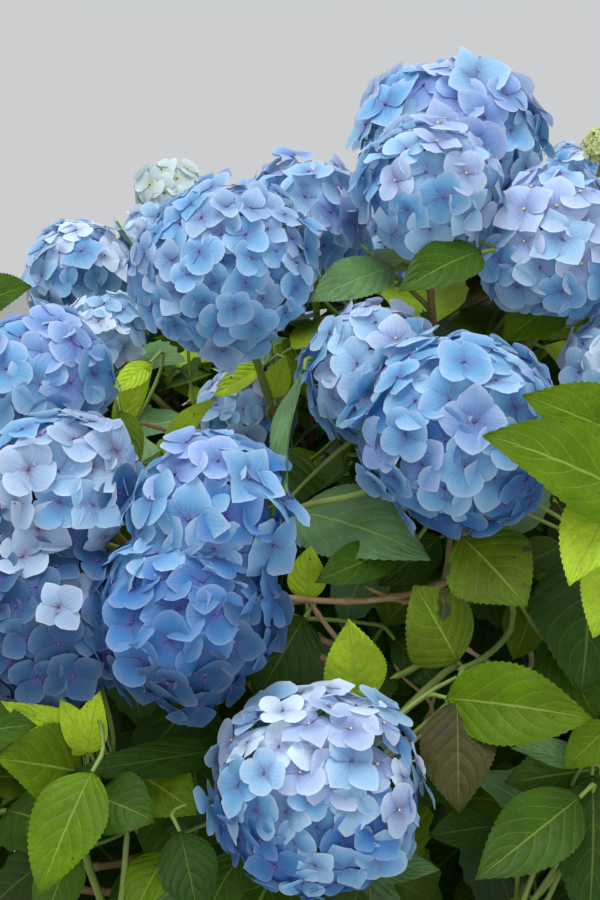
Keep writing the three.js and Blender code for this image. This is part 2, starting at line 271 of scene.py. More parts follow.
def flower_heads():
    """Every flower head: those of the photograph, then those set by rule."""
    heads = [Head((x * MM, y * MM, z * MM), r * MM, look) for x, y, z, r, look in PHOTO_HEADS]
    dice = Dice(HEAD_RULE["seed"])
    for point, azimuth, tilt in dome_candidates(HEAD_RULE, 1):
        radius = dice.between(HEAD_RULE["least"], HEAD_RULE["most"])
        kept = dice.roll()
        turn = (math.degrees(azimuth) + 180) % 360 - 180
        in_sector = PHOTO_SECTOR[0] < turn < PHOTO_SECTOR[1] and math.degrees(tilt) > PHOTO_SECTOR_TILT
        if in_sector or point[2] < NO_HEAD_BELOW or (point[2] < SPARSE_BELOW and kept > SPARSE_SHARE):
            continue
        if clear_of(heads, point, radius + HEAD_RULE["spacing"]):
            heads.append(Head(point, radius, RULE_LOOKS[len(heads) % len(RULE_LOOKS)]))
    return heads


def leafy_tips(heads):
    """The tips of shoots with leaves only, between the heads and down the flanks."""
    tips = []
    for point, _, _ in dome_candidates(TIP_RULE, TIP_RULE["inset"]):
        off_tips = all(np.linalg.norm(tip - point) > TIP_RULE["apart"] for tip in tips)
        if point[2] >= LOWEST_TIP and off_tips and clear_of(heads, point, TIP_RULE["off_head"]):
            tips.append(point)
    return tips


class Mass:
    """One cane, the stem that goes on from it, and the shoots that fork from the stem."""

    def __init__(self, tier, index):
        azimuth = math.radians(tier["first"] + 360 * index / tier["count"])
        root_reach, root_height, root_lean = tier["root"]
        hub_reach, hub_height, hub_lean = tier["hub"]
        self.hub = outward(azimuth) * hub_reach + UP * hub_height
        self.heading = leaning(azimuth, math.radians(hub_lean))
        tip = self.hub - self.heading * STEM_LENGTH
        root = outward(azimuth) * root_reach + UP * root_height
        self.cane = Arch(root, leaning(azimuth, math.radians(root_lean)), tip, self.heading, CANE_SLACK)
        self.stem = Arch(tip + self.heading * SEAM, self.heading, self.hub, self.heading, STEM_SLACK)
        self.shoots = []


class Shoot:
    """A shoot from its mass's stem to a flower head or a leafy tip."""

    def __init__(self, mass, end, head, seed):
        self.head = head
        self.dice = Dice(seed)
        axis = facing(end)
        place = (len(mass.shoots) * GOLDEN_SHARE) % 1
        fork = mass.stem.at(FORKS[0] + place * (FORKS[1] - FORKS[0]))
        target = end - axis * HEAD_SUNK * head.radius if head else end
        start = unit(mass.heading * (1 - TURN_OUT) + unit(target - fork) * TURN_OUT)
        self.path = Arch(fork, start, target, axis, SHOOT_SLACK)


def grow_masses():
    """Every mass, with its shoots: the heads and leafy tips are shared out to the nearest hubs."""
    masses = [Mass(tier, index) for tier in TIERS for index in range(tier["count"])]
    heads = flower_heads()
    ends = [(head.centre, head, FIRST_HEAD_SEED + i) for i, head in enumerate(heads)]
    ends += [(tip, None, FIRST_TIP_SEED + i) for i, tip in enumerate(leafy_tips(heads))]
    for end, head, seed in ends:
        mass = min(masses, key=lambda m: np.linalg.norm(m.hub - end))
        mass.shoots.append(Shoot(mass, end, head, seed))
    return masses, heads


def node_output(tree, kind, output, values, **settings):
    """An output of a new node, whose settings are made before its sockets get their values or links."""
    node = tree.nodes.new("ShaderNode" + kind)
    for key, value in settings.items():
        setattr(node, key, value)
    for key, value in values.items():
        if isinstance(value, Socket):
            tree.links.new(value.source, node.inputs[key])
        else:
            node.inputs[key].default_value = value
    return Socket(tree, node.outputs[output])


class Socket:
    """A node's output that can be used in expressions."""

    def __init__(self, tree, source):
        self.tree = tree
        self.source = source

    def _math(self, operation, *others):
        return node_output(self.tree, "Math", 0, dict(enumerate((self, *others))), operation=operation)

    __add__ = __radd__ = partialmethod(_math, "ADD")
    __mul__ = __rmul__ = partialmethod(_math, "MULTIPLY")
    __sub__ = partialmethod(_math, "SUBTRACT")
    __pow__ = partialmethod(_math, "POWER")
    __abs__ = partialmethod(_math, "ABSOLUTE")
    fraction = partialmethod(_math, "FRACT")
    sine = partialmethod(_math, "SINE")
    greatest = partialmethod(_math, "MAXIMUM")

    def __rsub__(self, other):
        return node_output(self.tree, "Math", 0, {0: other, 1: self}, operation="SUBTRACT")

    def step(self, low, high):
        """0 below low, 1 above high, and smooth between."""
        values = {"Value": self, "From Min": low, "From Max": high}
        return node_output(self.tree, "MapRange", "Result", values, interpolation_type="SMOOTHSTEP")


class Finish:
    """A material under way, whose base colour is built up in layers."""

    def __init__(self, name, colour, roughness, specular=0.5):
        self.material = bpy.data.materials.new(name)
        self.material.use_nodes = True
        self.material.diffuse_color = (*colour, 1)
        self.tree = self.material.node_tree
        self.shader = self.tree.nodes["Principled BSDF"]
        self.shader.inputs["Base Color"].default_value = (*colour, 1)
        self.shader.inputs["Roughness"].default_value = roughness
        self.shader.inputs["Specular IOR Level"].default_value = specular
        self.base = (*colour, 1)

    def node(self, kind, output, values, **settings):
        return node_output(self.tree, kind, output, values, **settings)

    @cached_property
    def place(self):
        """The place in the object, for patterns that don't follow a piece's own map."""
        return self.node("TexCoord", "Object", {})

    def uv(self):
        """The piece's own map as two values: across and along."""
        spot = self.node("UVMap", "UV", {}, uv_map="UVMap")
        first = self.node("SeparateXYZ", "X", {"Vector": spot})
        return first, Socket(self.tree, first.source.node.outputs["Y"])

    def noise(self, scale, detail=2, place=None):
        values = {"Vector": place or self.place, "Scale": scale, "Detail": detail}
        return self.node("TexNoise", "Fac", values)

    def feed(self, name, socket):
        self.tree.links.new(socket.source, self.shader.inputs[name])

    def layer(self, share, colour, strength=1):
        """Lays a colour over the base colour by a share of it."""
        if strength != 1:
            share = share * strength
        self.base = self.node("Mix", 2, {0: share, 6: self.base, 7: (*colour, 1)}, data_type="RGBA")
        self.feed("Base Color", self.base)

    def bump(self, height, distance, strength=1):
        values = {"Height": height, "Distance": distance, "Strength": strength}
        self.feed("Normal", self.node("Bump", "Normal", values))

    def glow_through(self, share):
        """Lets a share of the light through, as a thin petal or leaf does."""
        through = self.node("BsdfTranslucent", 0, {"Color": self.base})
        surface = Socket(self.tree, self.shader.outputs[0])
        mixed = self.node("MixShader", 0, {0: share, 1: surface, 2: through})
        self.tree.links.new(mixed.source, self.tree.nodes["Material Output"].inputs["Surface"])


def lighter(colour, share):
    return tuple(c + (1 - c) * share for c in colour)


def brighter(colour, gain):
    return tuple(min(1, c * gain) for c in colour)


def darker(colour, share):
    return tuple(c * (1 - share) for c in colour)


def shade(red, green, blue):
    """A colour given as on a screen, 0 to 255, as the renderer counts it."""
    return tuple(((c / 255 + 0.055) / 1.055) ** 2.4 if c > 10 else c / 3294.6 for c in (red, green, blue))


PETAL_VEINS = 40
PETAL_GLOW = 0.4
LEAF_GLOW = 0.22
SPOT = (0.045, 0.028, 0.012)
BLOTCH = (0.040, 0.030, 0.026)
BARK_STRETCH = (1.0, 1.0, 0.16)
# A leaf's side veins: their number, how far they slant forwards and how far they curve
RIBS = 6.4
RIB_SLANT = 1.9
RIB_CURVE = 0.8


def petal_finish(name, colour, eye, paleness=0.26, eye_reach=0.52):
    """Petals: a violet eye, fine veins that spread from it, and a paler rim."""
    finish = Finish(name, colour, roughness=0.62, specular=0.3)
    rim = lighter(colour, paleness)
    u, v = finish.uv()
    from_middle = abs(u * 2 - 1)
    drift = finish.noise(scale=55)
    wander = finish.noise(scale=160) - 0.5
    veins = ((u * PETAL_VEINS + wander * 6).sine() * 0.5 + 0.5) ** 3
    rimward = (v + from_middle * 0.3 + (drift - 0.5) * 0.5).step(0.35, 1.3)
    eyeward = 1 - (v + (drift - 0.5) * 0.3).step(0.0, eye_reach)
    finish.layer(rimward, rim)
    finish.layer(v.greatest(from_middle).step(0.84, 1.0), lighter(rim, paleness * 1.15), strength=0.4)
    finish.layer(eyeward, eye, strength=0.48)
    finish.layer(veins * (1 - v.step(0.02, 0.55)), darker(eye, 0.4), strength=0.3)
    finish.layer(finish.noise(scale=330, detail=1).step(0.74, 0.79), darker(colour, 0.5), strength=0.35)
    height = veins * 0.35 + finish.noise(scale=420) * 0.4 + drift * 1.6
    finish.bump(height, distance=0.0006, strength=0.5)
    finish.glow_through(PETAL_GLOW)
    return finish.material


def leaf_finish(name, colour, vein, sheen, blotched):
    """Leaves: a pale midrib, curved side veins with puffed blade between them, and specks.

    Where blotched is given, a coarse noise above it is brown.
    """
    finish = Finish(name, colour, roughness=0.42, specular=sheen)
    u, v = finish.uv()
    from_middle = abs(u * 2 - 1)
    mottle = finish.noise(scale=30, detail=3)
    net = finish.noise(scale=520, detail=4)
    slant = from_middle * RIB_SLANT + from_middle * from_middle * RIB_CURVE
    between = ((v * RIBS - slant + (mottle - 0.5) * 0.3).fraction() * math.pi).sine()
    side_veins = (1 - between.step(0.03, 0.15)) * (1 - from_middle.step(0.5, 1.0))
    midrib = 1 - from_middle.step(0.012, 0.05)
    finish.layer(mottle.step(0.35, 0.7), brighter(colour, 1.4))
    finish.layer(net.step(0.35, 0.65), darker(colour, 0.35), strength=0.3)
    if blotched:
        blotches = finish.noise(scale=38, detail=3).step(blotched, blotched + 0.05)
        finish.layer(blotches, BLOTCH, strength=0.8)
    finish.layer((side_veins * 0.3).greatest(midrib * 0.62), vein, strength=0.8)
    finish.layer(finish.noise(scale=190, detail=1).step(0.77, 0.8), SPOT, strength=0.8)
    finish.feed("Roughness", mottle * 0.25 + 0.36)
    height = between * 0.45 + net * 0.3 + finish.noise(scale=150) * 0.9 - midrib * 0.5
    finish.bump(height, distance=0.0013, strength=0.75)
    finish.glow_through(LEAF_GLOW)
    return finish.material


def bark_finish(name, colour, crack, flake):
    """Old bark: long cracks and paler flakes that run up the wood."""
    finish = Finish(name, colour, roughness=0.85, specular=0.25)
    finish.base = (*crack, 1)
    run = finish.node("Mapping", "Vector", {"Vector": finish.place, "Scale": BARK_STRETCH})
    grain = finish.noise(scale=260, detail=5, place=run)
    flakes = finish.noise(scale=90, detail=3, place=run).step(0.5, 0.66)
    finish.layer(grain.step(0.3, 0.62), colour)
    finish.layer(flakes, flake, strength=0.75)
    finish.bump(grain * 0.7 + flakes * 0.5, distance=0.0016, strength=0.8)
    return finish.material


def shoot_finish(name, colour, second, speck):
    """Young shoots: smooth, in two colours that blend, with small dark pores."""
    finish = Finish(name, colour, roughness=0.5, specular=0.4)
    pores = finish.noise(scale=520, detail=1).step(0.66, 0.72)
    finish.layer(finish.noise(scale=24).step(0.35, 0.7), second)
    finish.layer(pores, speck, strength=0.6)
    finish.bump(pores * 0.5 + finish.noise(scale=240), distance=0.0004, strength=0.6)
    return finish.material


def bead_finish(name, colour):
    """The eyes of florets: fine-grained."""
    finish = Finish(name, colour, roughness=0.5)
    finish.bump(finish.noise(scale=900), distance=0.0003)
    return finish.material


class Pattern:
    """A small mesh that is repeated: its corners, its faces and each corner's place on its map."""

    def __init__(self, bm, flat=True):
        bm.verts.index_update()
        self.corners = np.array([v.co[:] for v in bm.verts])
        self.faces = np.array([[v.index for v in f.verts] for f in bm.faces])
        self.map = self.corners[:, :2] * 0.5 + 0.5 if flat else self.corners[:, :2] * 0
        bm.free()


def blade_pattern(columns, rows):
    """A flat grid, -1 to 1 across and along."""
    bm = bmesh.new()
    bmesh.ops.create_grid(bm, x_segments=columns, y_segments=rows, size=1)
    return Pattern(bm)


def tube_pattern(sides, rings):
    """An open tube of radius 1 from z = 0 to 1, cut into rings."""
    bm = bmesh.new()
    bmesh.ops.create_cone(bm, cap_ends=False, segments=sides, radius1=1, radius2=1, depth=1)
    long_edges = [e for e in bm.edges if abs(e.verts[0].co.z - e.verts[1].co.z) > 0.5]
    bmesh.ops.subdivide_edges(bm, edges=long_edges, cuts=rings - 1, use_grid_fill=True)
    bmesh.ops.translate(bm, verts=bm.verts, vec=(0, 0, 0.5))
    pattern = Pattern(bm, flat=False)
    turn = np.arctan2(pattern.corners[:, 1], pattern.corners[:, 0]) / (2 * math.pi) + 0.5
    pattern.map = np.stack([turn, pattern.corners[:, 2]], axis=1)
    return pattern


def bead_pattern():
    """A small ball."""
    bm = bmesh.new()
    bmesh.ops.create_icosphere(bm, subdivisions=1, radius=1)
    return Pattern(bm, flat=False)


def placed(name, data, material=None):
    """An object in the scene for a finished mesh, a lamp or a camera."""
    if material:
        data.materials.append(material)
    thing = bpy.data.objects.new(name, data)
    bpy.context.scene.collection.objects.link(thing)
    return thing


def joined(name, pattern, corners, material):
    """One mesh of many copies of a pattern, from an array of the copies' corners."""
    count, each = corners.shape[:2]
    sides = pattern.faces.shape[1]
    faces = (pattern.faces[None] + each * np.arange(count)[:, None, None]).reshape(-1, sides)
    mesh = bpy.data.meshes.new(name)
    mesh.vertices.add(count * each)
    mesh.vertices.foreach_set("co", corners.astype(np.float32).ravel())
    mesh.loops.add(faces.size)
    mesh.loops.foreach_set("vertex_index", faces.astype(np.int32).ravel())
    mesh.polygons.add(len(faces))
    mesh.polygons.foreach_set("loop_start", np.arange(0, faces.size, sides, dtype=np.int32))
    mesh.polygons.foreach_set("use_smooth", np.ones(len(faces), dtype=bool))
    mesh.update(calc_edges=True)
    layer = mesh.uv_layers.new(name="UVMap")
    spread = pattern.map[np.tile(pattern.faces.ravel(), count)]
    layer.data.foreach_set("uv", spread.astype(np.float32).ravel())
    return placed(name, mesh, material)


def settle(piece, nodes):
    """Puts a finished piece on the frame: it rides on the root and stands for the nodes."""
    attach(piece, "root")
    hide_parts(*nodes)


def tubes(name, arches, radii, pattern, material):
    """Joined tubes along arches, tapering from the first radius of each pair to the second."""
    x, y, t = pattern.corners.T
    centres = np.array([arch.at(t) for arch in arches])
    slopes = np.array([arch.along(t) for arch in arches])
    chords = np.array([arch.knots[3] - arch.knots[0] for arch in arches])
    first = unit(np.cross(off_axis(chords)[:, None], slopes))
    ring = first * x[:, None] + np.cross(slopes, first) * y[:, None]
    start, end = np.array(radii).T[..., None]
    thickness = (start + (end - start) * t)[..., None]
    return joined(name, pattern, centres + ring * thickness, material)


def quilting(across_share, along_share):
    """How far a leaf's blade puffs up between its side veins, from 0 to 1."""
    from_middle = np.abs(across_share)
    ribs = along_share * RIBS - from_middle * RIB_SLANT - from_middle**2 * RIB_CURVE
    return np.sin((ribs % 1) * math.pi) * (1 - from_middle**4)


LEAST_BEND = 1e-3
TIP_TAPER = 2
RIM_WAVES = 9


def blades(name, pattern, profile, places, material):
    """Joined blades, such as petals or leaves, one for each place.

    The profile gives a blade's half width and length at each corner. A place is a dictionary of its
    base, the directions along it and off its face, its length and width, and where they aren't 0, how
    much its sides fold or cup up, how far it bends down towards the tip, how much it puffs up between
    its veins (quilt), how far its tip is drawn out to a point, its sideways sway, and the wave of its
    rim with its phase.
    """
    across_share, along_share = pattern.corners[:, 0], (pattern.corners[:, 1] + 1) / 2
    half, reach = profile(across_share, along_share)
    tip = (1 - np.abs(across_share)) ** 1.5 * along_share**3

    def column(key):
        return np.array([place.get(key, 0.0) for place in places])[:, None]

    along = unit(column("along"))
    side = unit(np.cross(along, column("face")))
    face = np.cross(side, along)
    length, width, point, bend = (column(key) for key in ("length", "width", "point", "bend"))
    half = half * (1 - point * along_share**3 * TIP_TAPER)
    reach = reach + point * tip
    bend = np.where(np.abs(bend) < LEAST_BEND, LEAST_BEND, bend)
    run = length * np.sin(bend * reach) / bend
    drop = length * (1 - np.cos(bend * reach)) / bend
    x = across_share * half * width / 2
    rim = np.sin(reach * RIM_WAVES + across_share * 2 + column("phase"))
    rise = np.abs(x) * column("fold") - drop
    rise += column("cup") * width * (across_share * half) ** 2
    rise += column("quilt") * length * quilting(across_share, along_share)
    rise += column("wave") * width * np.abs(across_share) ** 2 * rim
    x = x + column("sway") * length * reach**2
    corners = column("base") + side * x[..., None] + along * run[..., None] + face * rise[..., None]
    return joined(name, pattern, corners, material)


PETAL_OUTLINE = (0.16, 0.80, 1.0, 0.93, 0.66)
PETAL_ROUND = 0.12
# A leaf's half width is a factor and a power of the way from its base and from its tip
LEAF_OUTLINE = (3.4, 0.75, 1.05)
TOOTH_WIDTH = 0.9
WIDEST_TOOTH = 0.04
TOOTH_LENGTH = 0.2
LAST_TOOTH = 0.98
LEAF_EDGE = 0.99


def petal_profile(across_share, along_share):
    """A broad round petal on a short claw."""
    half = np.interp(along_share, np.linspace(0, 1, len(PETAL_OUTLINE)), PETAL_OUTLINE)
    return half, along_share - PETAL_ROUND * (across_share * along_share) ** 2


def leaf_profile(across_share, along_share):
    """An ovate leaf, widest below its middle, with a saw-toothed edge and a drawn-out tip."""
    factor, base_power, tip_power = LEAF_OUTLINE
    half = factor * along_share**base_power * (1 - along_share) ** tip_power
    rows = len(np.unique(along_share.round(4))) - 1
    tooth = (np.round(along_share * rows) % 2) * 2 - 1
    on_edge = np.abs(across_share) > LEAF_EDGE
    half = np.where(on_edge, half * (1 + min(WIDEST_TOOTH, TOOTH_WIDTH / rows) * tooth), half)
    jut = np.where(on_edge, TOOTH_LENGTH / rows * tooth, 0) * (along_share < LAST_TOOTH)
    return half, along_share + jut


def weighted(choices, value):
    """The choice at a value from 0 to 1, where each choice has a share."""
    for name, share in choices:
        value -= share
        if value <= 0:
            return name
    return choices[-1][0]


# How florets cover a head: the share of a floret's square that it takes up, how far they reach round
# the head, and how deep they sit. The tints drift from painted shade below to painted light on top.
FLORET_COVER = 0.45
HEAD_SPAN = math.radians(122)
HEAD_SKIN = 0.92
SWELL = 0.13
SWELL_SCALE = 2.1
FLORET_DEPTHS = (-0.075, 0.03)
FLORET_NOD = 0.26
FLORET_LIFT = 0.1
FLORET_SIZES = (0.8, 1.14)
FLORET_MARGIN = 0.62
SMALLEST_FULL_HEAD = 0.056
PAINTED_SHADE_DRIFT = 0.4
PAINTED_SHADE_START = -0.1
# How the petals of a floret vary, in shares of their size or in radians
FLORET_CUP = (0.0, 0.36)
FLORET_POINT = (-0.06, 0.14)
PETAL_TURN = 0.13
PETAL_LIFT = 0.14
PETAL_POINT = 0.03
PETAL_LENGTHS = (0.5, 0.58)
PETAL_WIDTHS = (1.0, 1.24)
PETAL_FORM = {"cup": (-0.16, 0.12), "bend": (-0.05, 0.7), "wave": (0.0, 0.05), "phase": (0, 6.28),
              "sway": (-0.06, 0.06)}
CLAW = 0.02
PETAL_STEP = 0.0007


def head_florets(head, seed, floret_width):
    """The florets of one head: centre, facing, size, spin, tilt from the head's axis and petal tint."""
    dice = Dice(seed)
    scale, *petals = HEAD_LOOKS[head.look]
    size = floret_width * min(1, 0.5 + 0.5 * head.radius / SMALLEST_FULL_HEAD) * scale
    cap = 2 * math.pi * head.radius**2 * (1 - math.cos(HEAD_SPAN))
    count = int(cap / (FLORET_COVER * size * size))
    first, second = across(head.axis)
    start = dice.between(0, 2 * math.pi)
    low, high = (np.array(corner) for corner in CAD_BOX)
    florets = []
    for k in range(count):
        tilt = math.acos(1 - (k + 0.5) / count * (1 - math.cos(HEAD_SPAN)))
        ray = turned(head.axis, turned(first, second, start + k * GOLDEN_ANGLE), tilt)
        squash = 1 if tilt < math.pi / 2 else 1 - (1 - HEAD_BACK) * math.sin(tilt - math.pi / 2)
        swell = noise.noise(Vector(ray * SWELL_SCALE + seed))
        lump = HEAD_SKIN + SWELL * swell + dice.between(*FLORET_DEPTHS)
        nod = np.array([dice.within(FLORET_NOD) for _ in range(3)])
        width = size * dice.between(*FLORET_SIZES)
        margin = width * FLORET_MARGIN
        centre = head.centre + ray * head.radius * lump * squash
        florets.append({
            "centre": np.clip(centre, low + margin, high - margin),
            "facing": unit(ray + nod + UP * FLORET_LIFT),
            "size": width,
            "spin": dice.between(0, math.pi / 2),
            "tilt": tilt,
            # Darker tints on the underside are painted shade, paler ones on top painted light
            "tint": weighted(petals, min(0.999, max(0, dice.roll() + PAINTED_SHADE_DRIFT * ray[2] + PAINTED_SHADE_START))),
        })
    return florets


def floret_petals(floret, seed):
    """The four petals of a floret, in two crossed pairs, each cupped and tilted in its own way."""
    dice = Dice(seed)
    front = floret["facing"]
    first, second = across(front)
    cup = dice.between(*FLORET_CUP)
    point = max(0, dice.between(*FLORET_POINT))
    petals = []
    for k in range(4):
        away = turned(first, second, floret["spin"] + k * math.pi / 2 + dice.within(PETAL_TURN))
        lift = cup + dice.within(PETAL_LIFT)
        length = floret["size"] * dice.between(*PETAL_LENGTHS)
        petals.append({
            "base": floret["centre"] + away * floret["size"] * CLAW + front * (k % 2) * PETAL_STEP,
            "along": turned(away, front, lift),
            "face": turned(front, -away, lift),
            "length": length,
            "width": length * dice.between(*PETAL_WIDTHS),
            "point": point + dice.within(PETAL_POINT),
            **dice.each(PETAL_FORM),
        })
    return petals


# The camera's place in metres, its pitch below level in degrees and its lens in millimetres. The
# picture is 600 wide and 900 high, and its long side stands for 36 mm.
CAMERA_PLACE = (-0.115, -1.757, 1.10)
CAMERA_PITCH = 8
CAMERA_LENS = 72.2
PICTURE = (600, 900)
SENSOR = 36


def camera_axes():
    """The camera's directions: right, up and forward."""
    pitch = math.radians(CAMERA_PITCH)
    return RIGHT, turned(UP, AWAY, pitch), turned(AWAY, -UP, pitch)


def from_picture(across_pixels, down_pixels, depth):
    """The point that a pixel shows at a depth in front of the camera."""
    right, up, forward = camera_axes()
    focal = CAMERA_LENS / SENSOR * PICTURE[1]
    x = (across_pixels - PICTURE[0] / 2) / focal
    y = (PICTURE[1] / 2 - down_pixels) / focal
    return np.array(CAMERA_PLACE) + depth * (forward + x * right + y * up)


# Leaves that the photograph shows clearly. Each has the pixel and depth where its blade starts and
# ends, its width as a share of its length, its tint, how much it folds and bends, and how far it is
# rolled about its midrib, in degrees.
PHOTO_LEAVES = (
    # The lime tint is painted light on leaves that light shines through inside the shrub
    ((652, 449, 1.20), (524, 400, 1.17), 0.54, "fresh", 0.30, 0.40, -15),
    ((650, 507, 1.17), (487, 441, 1.15), 0.60, "fresh", 0.25, 0.45, 10),
    ((622, 484, 1.17), (573, 586, 1.14), 0.60, "lime", 0.25, 0.35, 15),
    ((626, 545, 1.20), (597, 638, 1.18), 0.64, "lime", 0.20, 0.30, 0),
    ((392, 268, 1.37), (314, 304, 1.32), 0.46, "bluish", 0.25, 0.50, 0),
    ((304, 371, 1.295), (290, 488, 1.190), 0.33, "bluish", 0.35, 0.30, 66),
    ((116, 430, 1.46), (152, 360, 1.42), 0.30, "lime", 0.30, 0.30, 10),
    ((150, 363, 1.43), (114, 394, 1.41), 0.46, "lime", 0.20, 0.50, -10),
    ((121, 412, 1.42), (139, 474, 1.38), 0.38, "fresh", 0.30, 0.30, 0),
    ((162, 452, 1.42), (215, 396, 1.37), 0.27, "lime", 0.20, 0.30, 5),
    ((264, 366, 1.46), (214, 398, 1.49), 0.40, "lime", 0.30, 0.30, 0),
    ((272, 398, 1.46), (284, 355, 1.44), 0.55, "lime", 0.30, 0.30, 10),
    ((294, 512, 1.36), (428, 553, 1.28), 0.48, "bluish", 0.20, 0.50, 0),
    ((306, 600, 1.31), (308, 546, 1.29), 0.62, "lime", 0.20, 0.30, 0),
    ((462, 538, 1.275), (528, 604, 1.24), 0.92, "spotted", 0.10, 0.30, 5),
    ((562, 546, 1.34), (513, 574, 1.32), 0.62, "mid", 0.30, 0.50, 0),
    ((538, 596, 1.34), (516, 660, 1.32), 0.72, "fresh", 0.10, 0.30, 0),
    ((457, 661, 1.27), (413, 588, 1.25), 0.92, "spotted", 0.05, 0.30, 5),
    ((358, 702, 1.27), (345, 621, 1.24), 0.66, "lime", 0.30, 0.30, 0),
    ((447, 698, 1.24), (589, 714, 1.20), 0.54, "fresh", 0.25, 0.55, 15),
    ((457, 701, 1.235), (462, 812, 1.20), 0.66, "olive", 0.15, 0.30, 10),
    ((590, 556, 1.30), (586, 692, 1.24), 0.72, "deep", 0.15, 0.40, 0),
    ((579, 798, 1.22), (482, 881, 1.18), 0.54, "mid", 0.25, 0.50, 0),
    ((592, 776, 1.24), (592, 930, 1.19), 0.50, "deep", 0.20, 0.40, -5),
    ((92, 772, 1.19), (44, 894, 1.16), 0.60, "fresh", 0.25, 0.40, 10),
    ((72, 848, 1.22), (44, 930, 1.20), 0.60, "mid", 0.20, 0.30, 0),
    ((-42, 738, 1.22), (36, 722, 1.19), 0.54, "mid", 0.20, 0.30, 0),
    ((82, 772, 1.23), (-2, 762, 1.19), 0.80, "fresh", 0.30, 0.60, -10),
    ((96, 796, 1.21), (155, 819, 1.19), 0.95, "mid", 0.20, 0.30, 0),
    ((134, 772, 1.25), (198, 811, 1.22), 0.80, "fresh", 0.20, 0.30, 0),
    ((232, 748, 1.26), (69, 779, 1.20), 0.21, "deep", 0.20, 0.30, -10),
    ((180, 832, 1.21), (201, 918, 1.18), 0.64, "deep", 0.20, 0.40, 0),
    ((168, 852, 1.22), (134, 920, 1.18), 0.60, "fresh", 0.35, 0.40, 15),
    ((96, 746, 1.24), (2, 706, 1.20), 0.34, "lime", 0.50, 0.50, -20),
    ((90, 752, 1.23), (58, 700, 1.21), 0.45, "lime", 0.30, 0.30, 0),
    ((88, 752, 1.23), (97, 692, 1.21), 0.50, "lime", 0.30, 0.40, 0),
    ((-30, 312, 1.62), (30, 284, 1.58), 0.62, "mid", 0.20, 0.40, 0),
    ((480, 252, 1.31), (404, 293, 1.27), 0.50, "mid", 0.30, 0.60, 0),
    ((366, 868, 1.25), (438, 867, 1.22), 0.42, "bluish", 0.20, 0.40, 0),
    ((304, 618, 1.31), (259, 702, 1.27), 0.66, "deep", 0.20, 0.40, 0),
    ((566, 296, 1.42), (506, 344, 1.38), 0.60, "fresh", 0.30, 0.40, 0),
    ((396, 550, 1.31), (318, 585, 1.27), 0.46, "mid", 0.20, 0.40, 0),
    ((582, 763, 1.26), (512, 751, 1.24), 0.40, "bluish", 0.40, 0.40, 15),
    ((612, 724, 1.25), (566, 770, 1.23), 0.60, "fresh", 0.20, 0.40, 0),
    ((608, 768, 1.275), (506, 786, 1.255), 0.60, "mid", 0.20, 0.30, 0),
    ((545, 640, 1.30), (600, 720, 1.26), 0.60, "mid", 0.20, 0.40, 0),
    ((395, 640, 1.33), (442, 690, 1.31), 0.60, "deep", 0.20, 0.40, 0),
    ((494, 826, 1.30), (430, 838, 1.28), 0.60, "deep", 0.30, 0.40, 0),
    ((440, 538, 1.37), (380, 588, 1.355), 0.60, "mid", 0.20, 0.30, 0),
    ((64, 812, 1.78), (142, 888, 1.74), 0.80, "deep", 0.10, 0.30, 0),
    ((150, 862, 1.82), (58, 908, 1.80), 0.80, "deep", 0.10, 0.30, 0),
)

# Bare twigs that the photograph shows between the leaves. Each has the pixel and depth of its foot and
# of its tip, its radius in metres, and whether it has turned to wood.
PHOTO_TWIGS = (
    ((458, 577, 1.33), (284, 597, 1.29), 0.0027, True),
    ((424, 602, 1.33), (372, 590, 1.31), 0.0020, True),
    ((360, 654, 1.34), (303, 630, 1.31), 0.0024, True),
    ((356, 668, 1.33), (311, 603, 1.31), 0.0022, True),
    ((446, 640, 1.33), (397, 676, 1.30), 0.0030, False),
    ((118, 916, 1.32), (127, 836, 1.29), 0.0028, False),
    ((522, 672, 1.34), (462, 645, 1.31), 0.0019, True),
    ((510, 630, 1.31), (463, 668, 1.27), 0.0026, False),
    ((463, 668, 1.27), (449, 697, 1.25), 0.0026, False),
    ((432, 708, 1.34), (398, 670, 1.31), 0.0015, True),
    ((431, 708, 1.35), (435, 655, 1.33), 0.0015, True),
    ((172, 434, 1.47), (124, 416, 1.44), 0.0020, True),
    ((406, 286, 1.40), (366, 250, 1.38), 0.0022, False),
    ((297, 510, 1.31), (372, 488, 1.30), 0.0030, False),
    ((150, 852, 1.60), (70, 866, 1.56), 0.0036, True),
    ((156, 884, 1.64), (62, 886, 1.60), 0.0040, True),
)
# Where the photograph shows a dark gap between the leaves: the pixel and the gap's radius in metres
PHOTO_GAPS = (
    (102, 874, 0.022), (8, 888, 0.014), (204, 773, 0.009), (208, 818, 0.010), (438, 826, 0.018),
    (446, 872, 0.024), (496, 886, 0.020), (317, 457, 0.010),
)
GAP_DEPTH = 1.42
GAP_STEPS = np.arange(0, 0.36, 0.02)
# How far from a point towards the camera its view is kept clear, and which points of a leaf or twig
# are seen to, in shares of its length
VIEW_STEPS = (0.02, 0.06, 0.10, 0.15, 0.21, 0.28)
VIEW_RADIUS = 0.042
TWIG_VIEW_RADIUS = 0.014
LEAF_MARKS = (0.1, 0.35, 0.6, 0.85)
TWIG_MARKS = (0.1, 0.3, 0.5, 0.7, 0.9)

LEAF_SIZES = (0.092, 0.142)
LEAF_WIDTHS = (0.6, 0.74)
LEAF_SPREAD = (48, 84)
LEAF_TWIST = 0.3
LEAF_DROOP = (0.05, 0.4)
LEAF_UPWARD = (0.5, 1.3)
LEAF_FORM = {"fold": (0.0, 0.45), "cup": (-0.15, 0.1), "bend": (0.15, 0.95), "wave": (0.0, 0.06),
             "phase": (0, 6.28), "sway": (-0.08, 0.08)}
PHOTO_LEAF_FORM = {"quilt": 0.009, "cup": -0.05, "wave": 0.03, "sway": 0.03}
PHOTO_LEAF_UPWARD = 0.55
